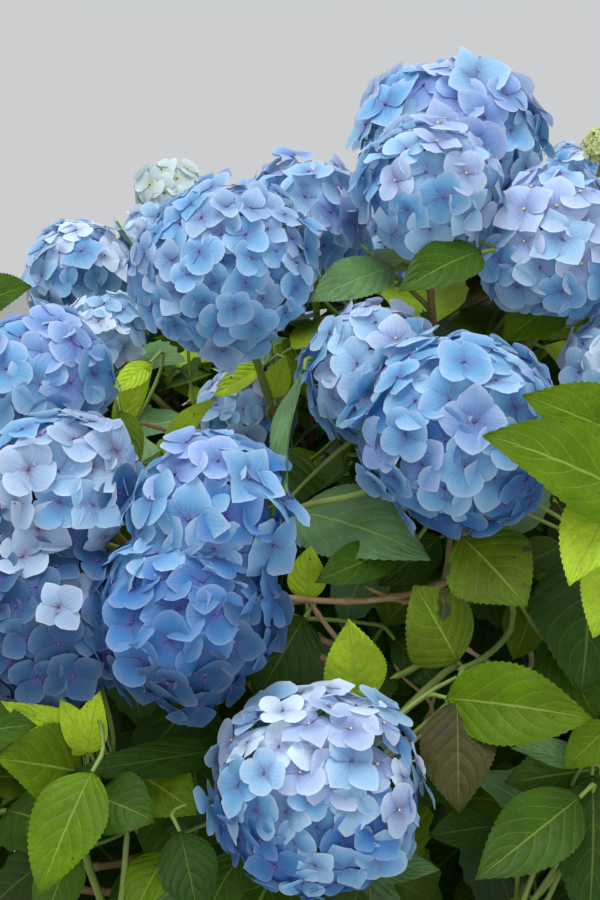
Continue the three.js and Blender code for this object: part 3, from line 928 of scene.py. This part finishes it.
# The points of a leaf that need room, along and across it in shares of its length
LEAF_PROBES = ((0.15, 0), (0.4, 0.3), (0.4, -0.3), (0.7, 0.15), (0.7, -0.15), (1, 0))
LEAF_MIDDLE = 0.45
TOP_PAIR_SIZE = 0.8
PAIR_TWIST = 0.2
PETIOLE = (0.018, 0.034)
PETIOLE_RADII = (0.0019, 0.0015)
PETIOLE_SLACK = 0.4
# How far a stalk first runs along its leaf and upwards, and how far tips turn up
PETIOLE_START = (0.5, 0.6)
UPTURN = 0.25
FIRST_NODE = 0.006
INTERNODE = (0.044, 0.062)
CLEAR_OF_FORK = 0.045
FILL_SEED = 900

TWIG_LENGTH = (0.070, 0.150)
TWIG_RADII = (0.0024, 0.0015)
TWIG_SLACK = 0.35
# How far a side twig follows its shoot, its leaf and the way out of the shrub
TWIG_HEADING = (0.75, 0.8, 0.35)
TWIG_START = 0.6
TWIG_RISE = 0.3
TWIG_TAPER = (1.25, 0.8)
TWIG_TOP = 0.99
TWIG_TIP_SIZE = 0.72
TWIG_LEAF_SIZE = 0.88
INNER_TWIGS = 5
INNER_REACH = (0.13, 0.24)
STEM_SPAN = (0.1, 0.9)
CANE_TOP = (0.6, 0.95)
# Where twigs of the photograph may leave a shoot, how far behind their foot, and how straight they
# arrive there
TWIG_PLACES = np.linspace(0.3, 0.95, 14)
BEHIND = 0.01
TWIG_STRAIGHT = 0.75
LEAF_TWIG_STRAIGHT = 0.3
BUD_LENGTH = 0.007
BUD_TIP = 0.0004

CLEAR_OF_LEAF = 0.023
CLEAR_OF_HEAD = 0.94
REACH_PAST_DOME = 1.09
LOWEST_LEAF = 0.016
LEAF_MARGIN = 0.006
# Each leaf tint: its share of the leaves, its sheen, how far its veins are darkened, and the noise
# above which it is blotched with brown
LEAF_TINTS = {
    "mid": (0.32, 0.18, 0.3, None), "deep": (0.22, 0.13, 0.55, None), "fresh": (0.16, 0.14, 0.1, None),
    # lime is painted light: a bright yellow-green standing for light that comes through the leaves
    "lime": (0.09, 0.18, 0, None), "bluish": (0.12, 0.45, 0, None), "spotted": (0.04, 0.18, 0, 0.60),
    "olive": (0.05, 0.15, 0, 0.68),
}
LEAF_SHARES = [(tint, row[0]) for tint, row in LEAF_TINTS.items()]


class Foliage:
    """The leaves, leaf stalks and side twigs of the whole shrub, with what keeps them apart."""

    def __init__(self, heads, leaf_size):
        self.head_centres = np.array([h.centre for h in heads])
        self.head_radii = np.array([h.radius for h in heads])
        self.leaf_size = leaf_size
        self.leaves, self.photo_leaves, self.middles = [], [], []
        self.petioles, self.twigs, self.old_twigs = [], [], []
        self.low = np.array(CAD_BOX[0]) + LEAF_MARGIN
        self.high = np.array(CAD_BOX[1]) - LEAF_MARGIN
        self.in_view = np.empty((0, 3))
        self.in_view_radii = np.empty(0)

    def keep_in_view(self, points, radius, steps):
        """Keeps later leaves out of the camera's sight of points, at steps towards the camera."""
        for point in points:
            back = unit(np.array(CAMERA_PLACE) - point)
            self.in_view = np.concatenate([self.in_view, [point + back * step for step in steps]])
            self.in_view_radii = np.concatenate([self.in_view_radii, [radius] * len(steps)])

    def has_room(self, points):
        """Whether points are in the shrub's reach, off every head and out of the views kept clear."""

        def clear(centres, radii):
            return np.all(np.linalg.norm(points[:, None] - centres, axis=2) > radii)

        return bool(
            np.all((points >= self.low) & (points <= self.high))
            and points[:, 2].min() >= LOWEST_LEAF
            and dome_share(points).max() <= REACH_PAST_DOME
            and clear(self.head_centres, self.head_radii * CLEAR_OF_HEAD)
            and clear(self.in_view, self.in_view_radii))

    def from_nearest(self, node, direction, share, paths):
        """A path to a node from the nearest point of a shoot that lies behind it, seen by the camera.

        The share says how far it arrives in the given direction and not straight from the shoot.
        """
        points = np.concatenate([path.at(TWIG_PLACES) for path in paths])
        slopes = np.concatenate([path.along(TWIG_PLACES) for path in paths])
        behind = (points - node) @ camera_axes()[2] > BEHIND
        nearest = int(np.argmin(np.where(behind, np.linalg.norm(points - node, axis=1), np.inf)))
        arrival = unit(direction * share + unit(node - points[nearest]) * (1 - share))
        return Arch(points[nearest], slopes[nearest], node, arrival, TWIG_SLACK)

    def add_photo_twig(self, foot, tip, radius, woody, paths):
        """A bare twig of the photograph with its bud, carried on to the nearest shoot behind its foot."""
        foot, tip = from_picture(*foot), from_picture(*tip)
        along = unit(tip - foot)
        rise = unit(along + UP * UPTURN)
        tail = self.from_nearest(foot, along, TWIG_STRAIGHT, paths)
        store = self.old_twigs if woody else self.twigs
        shown = Arch(foot, tail.along(1), tip, rise, TWIG_SLACK)
        bud = Arch(tip, rise, tip + rise * BUD_LENGTH, rise, TWIG_SLACK)
        thick, thin = radius * TWIG_TAPER[0], radius * TWIG_TAPER[1]
        store += [(tail, (thick, radius)), (shown, (radius, thin)), (bud, (thin, BUD_TIP))]
        marks = [foot + (tip - foot) * share for share in TWIG_MARKS]
        self.keep_in_view(marks, TWIG_VIEW_RADIUS, VIEW_STEPS)

    def add_photo_leaf(self, start, end, width, tint, fold, bend, roll, paths):
        """A leaf of the photograph, with a twig to it from the nearest shoot behind it."""
        base, tip = from_picture(*start), from_picture(*end)
        along = unit(tip - base)
        length = float(np.linalg.norm(tip - base)) * (1 + bend**2 / 6)
        face = square_to(along, UP * PHOTO_LEAF_UPWARD - camera_axes()[2])
        face = turned(face, np.cross(along, face), math.radians(roll))
        rise = unit(turned(along, face, bend / 2))
        node = base - rise * PETIOLE[0]
        twig = self.from_nearest(node, rise, LEAF_TWIG_STRAIGHT, paths)
        self.twigs.append((twig, TWIG_RADII))
        self.petioles.append((Arch(node, twig.along(1), base, rise, TWIG_SLACK), PETIOLE_RADII))
        self.photo_leaves.append({
            "base": base, "along": rise, "face": square_to(rise, face), "length": length,
            "width": length * width, "fold": fold, "bend": bend, "phase": roll, "tint": tint,
            **PHOTO_LEAF_FORM,
        })
        marks = [base + (tip - base) * share for share in LEAF_MARKS]
        self.middles += marks
        self.keep_in_view(marks, VIEW_RADIUS, VIEW_STEPS)

    def add_leaf(self, node, along, face, length, dice, tint):
        """A leaf on its stalk, unless it has no room. A stalk leaves the node and bends outwards."""
        stalk = dice.between(*PETIOLE) * length / LEAF_SIZES[1]
        base = node + unit(along + UP * UPTURN) * stalk
        side = unit(np.cross(along, face))
        probes = np.array([base + along * length * s + side * length * w for s, w in LEAF_PROBES])
        if not self.has_room(probes):
            return
        middle = base + along * length * LEAF_MIDDLE
        if self.middles and np.min(np.linalg.norm(np.array(self.middles) - middle, axis=1)) < CLEAR_OF_LEAF:
            return
        self.middles.append(middle)
        onward, upwards = PETIOLE_START
        petiole = Arch(node, unit(along * onward + UP * upwards), base, along, PETIOLE_SLACK)
        self.petioles.append((petiole, PETIOLE_RADII))
        self.leaves.append({
            "base": base, "along": along, "face": face, "length": length,
            "width": length * dice.between(*LEAF_WIDTHS), **dice.each(LEAF_FORM), "tint": tint,
        })

    def add_pair(self, node, axis, aside, size, dice):
        """Two leaves that face each other across a shoot."""
        for sign in (1, -1):
            spread = math.radians(dice.between(*LEAF_SPREAD))
            twist = unit(aside + np.cross(axis, aside) * dice.within(LEAF_TWIST))
            along = unit(turned(axis, twist * sign, spread) - UP * dice.between(*LEAF_DROOP))
            face = square_to(along, axis + UP * dice.between(*LEAF_UPWARD))
            length = dice.between(*LEAF_SIZES) * size * self.leaf_size
            self.add_leaf(node, along, face, length, dice, weighted(LEAF_SHARES, dice.roll()))

    def dress(self, shoot):
        """Pairs of leaves down a shoot, each turned across the one above, and side twigs between."""
        dice = shoot.dice
        length = shoot.path.length()
        behind = FIRST_NODE
        if shoot.head:
            behind += (HEAD_BACK - HEAD_SUNK) * shoot.head.radius
        turn = dice.between(0, math.pi)
        on_top = True
        while behind < length - CLEAR_OF_FORK:
            t = 1 - behind / length
            node, axis = shoot.path.at(t), shoot.path.along(t)
            aside = turned(*across(axis), turn)
            self.add_pair(node, axis, aside, TOP_PAIR_SIZE if on_top else 1, dice)
            if not on_top:
                sideways = aside * (1 if dice.roll() > 0.5 else -1)
                self.add_twig(node, axis, sideways, dice.between(*TWIG_LENGTH), dice)
            behind += dice.between(*INTERNODE)
            turn += math.pi / 2 + dice.within(PAIR_TWIST)
            on_top = False

    def fill(self, mass, seed):
        """Short leafy twigs from the stem and the top of its cane, inside the outer leaves."""
        dice = Dice(seed)
        turn = dice.between(0, math.pi)
        for k in range(INNER_TWIGS):
            path, span = (mass.stem, STEM_SPAN) if k % 2 else (mass.cane, CANE_TOP)
            t = dice.between(*span)
            axis = path.along(t)
            aside = turned(*across(axis), turn)
            self.add_twig(path.at(t), axis, aside, dice.between(*INNER_REACH), dice)
            turn += GOLDEN_ANGLE

    def add_twig(self, node, axis, aside, reach, dice):
        """A side twig from a leaf's armpit, with a pair of leaves at its tip and more on its way."""
        onward, sideways, outwards = TWIG_HEADING
        direction = unit(axis * onward + aside * sideways + facing(node) * outwards)
        tip = node + direction * reach
        if not self.has_room(tip[None]):
            return
        start, end = unit(axis + aside * TWIG_START), unit(direction + UP * TWIG_RISE)
        path = Arch(node, start, tip, end, TWIG_SLACK)
        self.twigs.append((path, TWIG_RADII))
        turn = dice.between(0, math.pi)
        pairs = max(2, round(reach / INTERNODE[1]))
        for k in range(pairs):
            t = TWIG_TOP - k / pairs
            axis = path.along(t)
            size = TWIG_LEAF_SIZE if k else TWIG_TIP_SIZE
            self.add_pair(path.at(t), axis, turned(*across(axis), turn), size, dice)
            turn += math.pi / 2


# The stool's profile from the ground up, as radii in metres at shares of its height, and its rounded cap
STOOL_PROFILE = ((0.104, 0.0), (0.082, 0.34), (0.088, 0.68), (0.055, 0.94))
STOOL_CAP = ((0.036, 0.975), (0.018, 1.0), (0.0, 1.0))
STOOL_HEIGHT = 0.092
STOOL_RINGS = 26
STOOL_SIDES = 112
STOOL_LUMP = 0.005
LUMPS_FADE = 0.05
CRACKS_AROUND = 4
CRACKS_UP = 14
CRACK_NOISE = (0.9, 2.1, 5)
CRACK_SHARE = 0.8
SWELLS = 24
SWELL_SHARE = 1.2
STOOL_TOP = 0.9
MERGE_DISTANCE = 1e-5
AXIS_GAP = 1e-4
# Weights of a place's three measures, uneven enough to give each place a number of its own
ORDER = Vector((1, GOLDEN_SHARE, 7))
RIDGES_ACROSS = 420
RIDGES_ALONG = 40
JOINT_SHARE = 0.09
CANE_BARK = {"relief": 0.16, "knuckle": 0.2, "spacing": 0.094}
SHOOT_BARK = {"relief": 0.08, "knuckle": 0.16, "spacing": 0.052}
TWIG_BARK = {"relief": 0.1, "knuckle": 0.35, "spacing": 0.036}


def in_order(part):
    """A number to sort a mesh's corners, edges or faces by, from where they lie."""
    corners = part.verts if hasattr(part, "verts") else [part]
    return sum(ORDER.dot(corner.co) for corner in corners) / len(corners)


def woody_stool(relief, material):
    """The short woody stem at the shrub's foot, with its root flare, lumps and cracked bark."""
    radii, shares = zip(*STOOL_PROFILE)
    marks = [share * STOOL_HEIGHT for share in shares]
    heights = [k / STOOL_RINGS * STOOL_HEIGHT * shares[-1] for k in range(STOOL_RINGS + 1)]
    outline = [(0.0, 0.0), *((float(np.interp(z, marks, radii)), z) for z in heights)]
    outline += [(radius, share * STOOL_HEIGHT) for radius, share in STOOL_CAP]
    bm = bmesh.new()
    points = [bm.verts.new((r, 0, z)) for r, z in outline]
    edges = [bm.edges.new(pair) for pair in zip(points, points[1:])]
    bmesh.ops.spin(bm, geom=points + edges, cent=(0, 0, 0), axis=(0, 0, 1), angle=2 * math.pi,
                   steps=STOOL_SIDES, use_merge=True)
    bmesh.ops.remove_doubles(bm, verts=bm.verts, dist=MERGE_DISTANCE)
    bmesh.ops.recalc_face_normals(bm, faces=bm.faces)
    # Spinning and merging leave them in an order that changes from run to run
    for parts in (bm.verts, bm.edges, bm.faces):
        parts.sort(key=in_order)
    for vert in bm.verts:
        x, y, z = vert.co
        out = math.hypot(x, y)
        if out < AXIS_GAP:
            continue
        angle = math.atan2(y, x)
        around = Vector((math.cos(angle), math.sin(angle), 0)) * CRACKS_AROUND
        crack = noise.fractal(around + Vector((0, 0, z * CRACKS_UP)), *CRACK_NOISE)
        swell = noise.noise(vert.co * SWELLS)
        lump = STOOL_LUMP * (math.sin(3 * angle) + math.cos(5 * angle)) * min(1, out / LUMPS_FADE)
        grown = (out + lump + relief * (crack * CRACK_SHARE + swell * SWELL_SHARE)) / out
        vert.co.x *= grown
        vert.co.y *= grown
        if z > STOOL_HEIGHT * STOOL_TOP:
            vert.co.z -= relief * abs(crack)
    mesh = bpy.data.meshes.new("woody_stem_bark")
    bm.to_mesh(mesh)
    bm.free()
    mesh.polygons.foreach_set("use_smooth", np.ones(len(mesh.polygons), dtype=bool))
    return placed("woody_stem_bark", mesh, material)


def barked(piece, arches, pattern, relief, knuckle, spacing):
    """Gives joined tubes swollen joints at each spacing along them, and ridges that run with the grain.

    The relief and the joints are shares of the tube's radius. The arches and the pattern are those
    that the tubes were made from.
    """
    mesh = piece.data
    corners = np.empty(len(mesh.vertices) * 3, dtype=np.float32)
    mesh.vertices.foreach_get("co", corners)
    corners = corners.reshape(-1, 3).astype(float)
    t = pattern.corners[:, 2]
    centres = np.concatenate([arch.at(t) for arch in arches])
    run = np.concatenate([t * arch.length() for arch in arches])
    off = corners - centres
    grain = np.column_stack([off[:, :2] * RIDGES_ACROSS, corners[:, 2] * RIDGES_ALONG])
    ridges = np.array([noise.noise(Vector(place)) for place in grain])
    joints = np.exp(-(((run / spacing) % 1 - 0.5) / JOINT_SHARE) ** 2)
    grown = 1 + relief * ridges + knuckle * joints
    mesh.vertices.foreach_set("co", (centres + off * grown[:, None]).astype(np.float32).ravel())
    mesh.update()


def make_limbs(name, limbs, faces, material, nodes, bark=None):
    """Settles tubes made from pairs of an arch and its two radii. Faces are a tube's sides and rings."""
    arches, radii = zip(*limbs)
    pattern = tube_pattern(*faces)
    piece = tubes(name, arches, radii, pattern, material)
    if bark:
        barked(piece, arches, pattern, **bark)
    settle(piece, nodes)


PLAN = {}


def plan():
    """The shrub's plan, worked out once for all the operators."""
    if not PLAN:
        masses, heads = grow_masses()
        PLAN["masses"], PLAN["heads"] = masses, heads
        PLAN["shoots"] = [shoot for mass in masses for shoot in mass.shoots]
    return PLAN


def grow_foliage(leaf_size):
    """All leaves and twigs: first those of the photograph, then those that find room by rule."""
    foliage = Foliage(plan()["heads"], leaf_size)
    paths = [shoot.path for shoot in plan()["shoots"]]
    for row in PHOTO_LEAVES:
        foliage.add_photo_leaf(*row, paths)
    for row in PHOTO_TWIGS:
        foliage.add_photo_twig(*row, paths)
    for across_pixels, down_pixels, radius in PHOTO_GAPS:
        foliage.keep_in_view([from_picture(across_pixels, down_pixels, GAP_DEPTH)], radius, GAP_STEPS)
    for head in plan()["heads"][:len(PHOTO_HEADS)]:
        foliage.keep_in_view([head.centre], head.radius, VIEW_STEPS[1:])
    for shoot in plan()["shoots"]:
        foliage.dress(shoot)
    for number, mass in enumerate(plan()["masses"]):
        foliage.fill(mass, FILL_SEED + number)
    return foliage


# Seeds of the heads' florets and of each floret's petals
HEAD_SEED = 500
PETAL_SEED = 1000
BEAD_RISE = 0.0012
BEAD_SIZE = 0.032
PALE_BEADED = ("cream", "lilac")
# Florets this far round from a head's axis have a stalk in view
STALKED_TILT = 1.2
STALK_FORK = 0.9
STALK_SLACK = 0.3
STALK_RADII = (0.0011, 0.0007)
BUD_HEART = shade(188, 202, 128)
# Petal tints whose rims are less pale or whose eyes are smaller than the rest's
PETAL_RIMS = {"gentian": {"paleness": 0.13}, "slate": {"paleness": 0.08, "eye_reach": 0.40},
              "pearl": {"eye_reach": 0.34}}


def grow_florets(floret_width):
    """Petals by tint, beads by colour as a centre and a radius in a row, and stalks with their radii."""
    petals, beads, stalks = {}, {"eye": [], "cream": []}, []
    seed = PETAL_SEED
    for number, head in enumerate(plan()["heads"]):
        fork = head.centre - head.axis * head.radius * HEAD_SUNK * STALK_FORK
        for floret in head_florets(head, HEAD_SEED + number, floret_width):
            seed += 1
            petals.setdefault(floret["tint"], []).extend(floret_petals(floret, seed))
            middle = floret["centre"] + floret["facing"] * BEAD_RISE
            bead = "cream" if floret["tint"] in PALE_BEADED else "eye"
            beads[bead].append((*middle, floret["size"] * BEAD_SIZE))
            if floret["tilt"] > STALKED_TILT:
                stalk = Arch(fork, head.axis, floret["centre"], floret["facing"], STALK_SLACK)
                stalks.append((stalk, STALK_RADII))
    return petals, beads, stalks


def node_names(kind):
    """The names of the frame's nodes of one kind."""
    return [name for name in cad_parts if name.startswith(kind)]


def number_setting(name, description, low, high, default, unit="NONE"):
    """A size or a strength that a user can change."""
    return bpy.props.FloatProperty(name=name, description=description, min=low, max=high, default=default,
                                   unit=unit)


def colour_setting(name, description, *screen):
    """A colour that a user can change, given as on a screen."""
    return bpy.props.FloatVectorProperty(name=name, description=description, subtype="COLOR", size=3,
                                         min=0, max=1, default=shade(*screen))


def colours(settings, *names):
    """The settings' colours of these names, each as three plain values."""
    return [tuple(getattr(settings, name)) for name in names]


class HydrangeaWood(bpy.types.PropertyGroup):
    """Sizes and colours of the stool, the canes and the shoots."""

    relief: number_setting("Bark relief", "Depth of the cracks on the stool", 0, 0.01, 0.0035, "LENGTH")
    bark: colour_setting("Bark", "Bark of the stool and canes", 134, 108, 82)
    crack: colour_setting("Cracks", "Cracks in the bark", 62, 47, 34)
    flake: colour_setting("Flakes", "Loose pale bark", 176, 152, 120)
    young: colour_setting("Young shoots", "Green shoots below the heads", 118, 142, 62)
    ripe: colour_setting("Ripe shoots", "Shoots that turn to wood", 132, 106, 68)


class HydrangeaLeaves(bpy.types.PropertyGroup):
    """Sizes and colours of the leaves."""

    size: number_setting("Leaf size", "Scale of every leaf", 0.5, 1.5, 1.0)
    mid: colour_setting("Mid green", "Most of the leaves", 48, 78, 8)
    deep: colour_setting("Deep green", "Leaves in the shade", 34, 62, 10)
    fresh: colour_setting("Fresh green", "Yellow-green leaves", 78, 107, 5)
    # Lit lime: painted light, a bright yellow-green for leaves that light shines through inside the shrub
    lime: colour_setting("Lime green", "Young bright leaves", 154, 184, 42)
    bluish: colour_setting("Bluish green", "Leaves with a bloom", 82, 119, 70)
    spotted: colour_setting("Spotted", "Leaves with brown blotches", 82, 106, 14)
    olive: colour_setting("Olive", "Old leaves that turn brown", 56, 56, 20)
    vein: colour_setting("Veins", "Midrib and side veins", 158, 184, 80)
    dull_vein: colour_setting("Dull veins", "Veins of old leaves", 122, 118, 74)


class HydrangeaFlowers(bpy.types.PropertyGroup):
    """Sizes and colours of the flower heads."""

    floret: number_setting("Floret width", "Width of one four-petalled floret", 0.02, 0.06, 0.037, "LENGTH")
    cornflower: colour_setting("Cornflower", "Main blue", 106, 172, 218)
    periwinkle: colour_setting("Periwinkle", "Violet blue", 126, 166, 220)
    sky: colour_setting("Sky", "Pale blue", 146, 194, 228)
    gentian: colour_setting("Gentian", "Deep blue", 54, 126, 192)
    lilac: colour_setting("Lilac", "Pale violet", 168, 192, 228)
    haze: colour_setting("Haze", "Blue with a violet tinge, on ageing heads", 138, 178, 216)
    # Slate: the grey blue of ageing heads, made darker as painted shade
    slate: colour_setting("Slate", "Grey blue", 46, 96, 144)
    pearl: colour_setting("Pearl", "Whitish petals of ageing heads", 156, 186, 220)
    # Lit mist: a whitish blue that is painted light, for heads that lie in shade
    mist: colour_setting("Mist", "Palest blue", 208, 228, 248)
    mint: colour_setting("Mint", "Bluish white of half-open heads", 202, 220, 224)
    cream: colour_setting("Cream", "Greenish yellow of buds", 190, 202, 122)
    eye: colour_setting("Eye", "Middle of each floret", 104, 92, 168)
    red_eye: colour_setting("Red eye", "Middle of each floret of an ageing head", 118, 54, 92)


class HydrangeaStage(bpy.types.PropertyGroup):
    """Floor, light and view."""

    floor: colour_setting("Floor", "Plain pale floor", 206, 206, 202)
    sky: number_setting("Sky light", "Strength of the even light", 0, 5, 0.70)
    lamp: number_setting("Lamp", "Power of the large soft lamp", 0, 2000, 102)


# Each tube's sides and rings, and each blade's columns and rows
CANE_FACES = (12, 72)
SHOOT_FACES = (9, 26)
PETIOLE_FACES = (5, 3)
TWIG_FACES = (6, 8)
OLD_TWIG_FACES = (10, 40)
STALK_FACES = (3, 4)
LEAF_GRID = (4, 14)
NEAR_LEAF_GRID = (8, 44)
PETAL_GRID = (4, 4)


class OBJECT_OT_hydrangea_wood(bpy.types.Operator):
    """Make the woody stem and the canes with their bark"""

    bl_idname = "object.hydrangea_wood"
    bl_label = "Stool and canes"

    def execute(self, context):
        sizes = context.scene.hydrangea_wood
        bark = bark_finish("bark", *colours(sizes, "bark", "crack", "flake"))
        settle(woody_stool(sizes.relief, bark), node_names("woody_stem"))
        canes = [(mass.cane, CANE_RADII) for mass in plan()["masses"]]
        make_limbs("canes_bark", canes, CANE_FACES, bark, node_names("cane_"), CANE_BARK)
        return {"FINISHED"}


class OBJECT_OT_hydrangea_shoots(bpy.types.Operator):
    """Make the stems that go on from the canes and the shoots that fork from them"""

    bl_idname = "object.hydrangea_shoots"
    bl_label = "Stems and shoots"

    def execute(self, context):
        nodes = node_names("foliage_")
        bark, crack, young, ripe = colours(context.scene.hydrangea_wood, "bark", "crack", "young", "ripe")
        wood = shoot_finish("ripe_shoots", ripe, bark, crack)
        green = shoot_finish("young_shoots", young, ripe, crack)
        stems = [(mass.stem, STEM_RADII) for mass in plan()["masses"]]
        shoots = [(shoot.path, SHOOT_RADII) for shoot in plan()["shoots"]]
        make_limbs("stems", stems, SHOOT_FACES, wood, nodes)
        make_limbs("shoots", shoots, SHOOT_FACES, green, nodes, SHOOT_BARK)
        return {"FINISHED"}


class OBJECT_OT_hydrangea_leaves(bpy.types.Operator):
    """Make the leaves, their stalks and the side twigs"""

    bl_idname = "object.hydrangea_leaves"
    bl_label = "Leaves"

    def execute(self, context):
        sizes = context.scene.hydrangea_leaves
        nodes = node_names("foliage_")
        foliage = grow_foliage(sizes.size)
        kinds = (("leaves", blade_pattern(*LEAF_GRID), foliage.leaves),
                 ("near_leaves", blade_pattern(*NEAR_LEAF_GRID), foliage.photo_leaves))
        for tint, (_, sheen, vein_shade, blotched) in LEAF_TINTS.items():
            colour, vein = colours(sizes, tint, "dull_vein" if tint == "olive" else "vein")
            material = leaf_finish(f"leaf_{tint}", colour, darker(vein, vein_shade), sheen, blotched)
            for kind, pattern, leaves in kinds:
                places = [leaf for leaf in leaves if leaf["tint"] == tint]
                settle(blades(f"{kind}_{tint}", pattern, leaf_profile, places, material), nodes)
        crack, flake, young, ripe = colours(context.scene.hydrangea_wood, "crack", "flake", "young", "ripe")
        green = shoot_finish("leaf_stalks", young, darker(young, 0.4), ripe)
        wood = shoot_finish("old_twigs", ripe, flake, crack)
        make_limbs("leaf_stalks", foliage.petioles, PETIOLE_FACES, green, nodes)
        make_limbs("side_twigs", foliage.twigs, TWIG_FACES, green, nodes)
        make_limbs("old_twigs", foliage.old_twigs, OLD_TWIG_FACES, wood, nodes, TWIG_BARK)
        return {"FINISHED"}


class OBJECT_OT_hydrangea_flowers(bpy.types.Operator):
    """Make the florets, their eyes and their stalks"""

    bl_idname = "object.hydrangea_flowers"
    bl_label = "Flower heads"

    def execute(self, context):
        sizes = context.scene.hydrangea_flowers
        nodes = node_names("foliage_")
        petals, beads, stalks = grow_florets(sizes.floret)
        eye, red_eye, cream = colours(sizes, "eye", "red_eye", "cream")
        hearts = {"cream": BUD_HEART, "mint": BUD_HEART, "pearl": red_eye}
        pattern = blade_pattern(*PETAL_GRID)
        for tint, places in petals.items():
            colour, = colours(sizes, tint)
            rim = PETAL_RIMS.get(tint, {})
            material = petal_finish(f"petal_{tint}", colour, hearts.get(tint, eye), **rim)
            settle(blades(f"blossom_{tint}", pattern, petal_profile, places, material), nodes)
        ball = bead_pattern()
        for tint, colour in (("eye", darker(eye, 0.4)), ("cream", cream)):
            spots = np.array(beads[tint])[:, None]
            corners = spots[..., :3] + ball.corners * spots[..., 3:]
            material = bead_finish(f"bead_{tint}", colour)
            settle(joined(f"floret_beads_{tint}", ball, corners, material), nodes)
        young, ripe = colours(context.scene.hydrangea_wood, "young", "ripe")
        green = shoot_finish("floret_stalks", young, BUD_HEART, ripe)
        make_limbs("floret_stalks", stalks, STALK_FACES, green, nodes)
        return {"FINISHED"}


FLOOR_RADIUS = 20
FLOOR_SIDES = 96
BACKDROP = shade(240, 241, 243)
# Each lamp's name, place, share of the lamp setting's power, and size. All are aimed at one height.
LAMPS = (("overhead", (-0.6, -1.2, 3.6), 1, 2.4), ("fill", (0.4, -3.6, 1.25), 0.38, 2.2))
AIM = (0, 0, 0.7)
CLIP_START = 0.01


class OBJECT_OT_hydrangea_stage(bpy.types.Operator):
    """Make the floor, the light and the camera"""

    bl_idname = "object.hydrangea_stage"
    bl_label = "Stage"

    def execute(self, context):
        sizes = context.scene.hydrangea_stage
        scene = context.scene
        scene.view_settings.view_transform = "Standard"
        bm = bmesh.new()
        bmesh.ops.create_circle(bm, cap_ends=True, cap_tris=True, segments=FLOOR_SIDES, radius=FLOOR_RADIUS)
        mesh = bpy.data.meshes.new("floor")
        bm.to_mesh(mesh)
        bm.free()
        colour, = colours(sizes, "floor")
        floor = placed("floor", mesh, Finish("floor", colour, roughness=0.9, specular=0.2).material)
        world = bpy.data.worlds.new("studio")
        world.use_nodes = True
        background = world.node_tree.nodes["Background"]
        background.inputs["Color"].default_value = (*BACKDROP, 1)
        background.inputs["Strength"].default_value = sizes.sky
        scene.world = world
        for name, place, power, size in LAMPS:
            lamp = bpy.data.lights.new(name, "AREA")
            lamp.energy = sizes.lamp * power
            lamp.shape = "DISK"
            lamp.size = size
            turn = (Vector(AIM) - Vector(place)).to_track_quat("-Z", "Y").to_matrix().to_4x4()
            placed(name, lamp).matrix_world = Matrix.Translation(place) @ turn
        camera = bpy.data.cameras.new("view")
        camera.lens = CAMERA_LENS
        camera.clip_start = CLIP_START
        scene.camera = placed("view", camera)
        scene.camera.location = CAMERA_PLACE
        scene.camera.rotation_euler = (math.radians(90 - CAMERA_PITCH), 0, 0)
        return {"FINISHED"}


class VIEW3D_PT_hydrangea(bpy.types.Panel):
    """The shrub's settings and the buttons that make its pieces"""

    bl_label = "Hydrangea"
    bl_idname = "VIEW3D_PT_hydrangea"
    bl_space_type = "VIEW_3D"
    bl_region_type = "UI"
    bl_category = "Hydrangea"

    def draw(self, context):
        for group, settings in SETTINGS.items():
            box = self.layout.box()
            for name in settings.__annotations__:
                box.prop(getattr(context.scene, group), name)
        for operator in OPERATORS:
            self.layout.operator(operator.bl_idname)


SETTINGS = {
    "hydrangea_wood": HydrangeaWood,
    "hydrangea_leaves": HydrangeaLeaves,
    "hydrangea_flowers": HydrangeaFlowers,
    "hydrangea_stage": HydrangeaStage,
}
OPERATORS = (
    OBJECT_OT_hydrangea_wood,
    OBJECT_OT_hydrangea_shoots,
    OBJECT_OT_hydrangea_leaves,
    OBJECT_OT_hydrangea_flowers,
    OBJECT_OT_hydrangea_stage,
)
CLASSES = (*SETTINGS.values(), *OPERATORS, VIEW3D_PT_hydrangea)


def register():
    for each in CLASSES:
        bpy.utils.register_class(each)
    for group, settings in SETTINGS.items():
        setattr(bpy.types.Scene, group, bpy.props.PointerProperty(type=settings))


def unregister():
    for group in SETTINGS:
        delattr(bpy.types.Scene, group)
    for each in reversed(CLASSES):
        bpy.utils.unregister_class(each)


def main():
    register()
    for operator in OPERATORS:
        getattr(bpy.ops.object, operator.bl_idname.partition(".")[2])()
    bpy.context.view_layer.update()


if __name__ == "__main__":
    main()
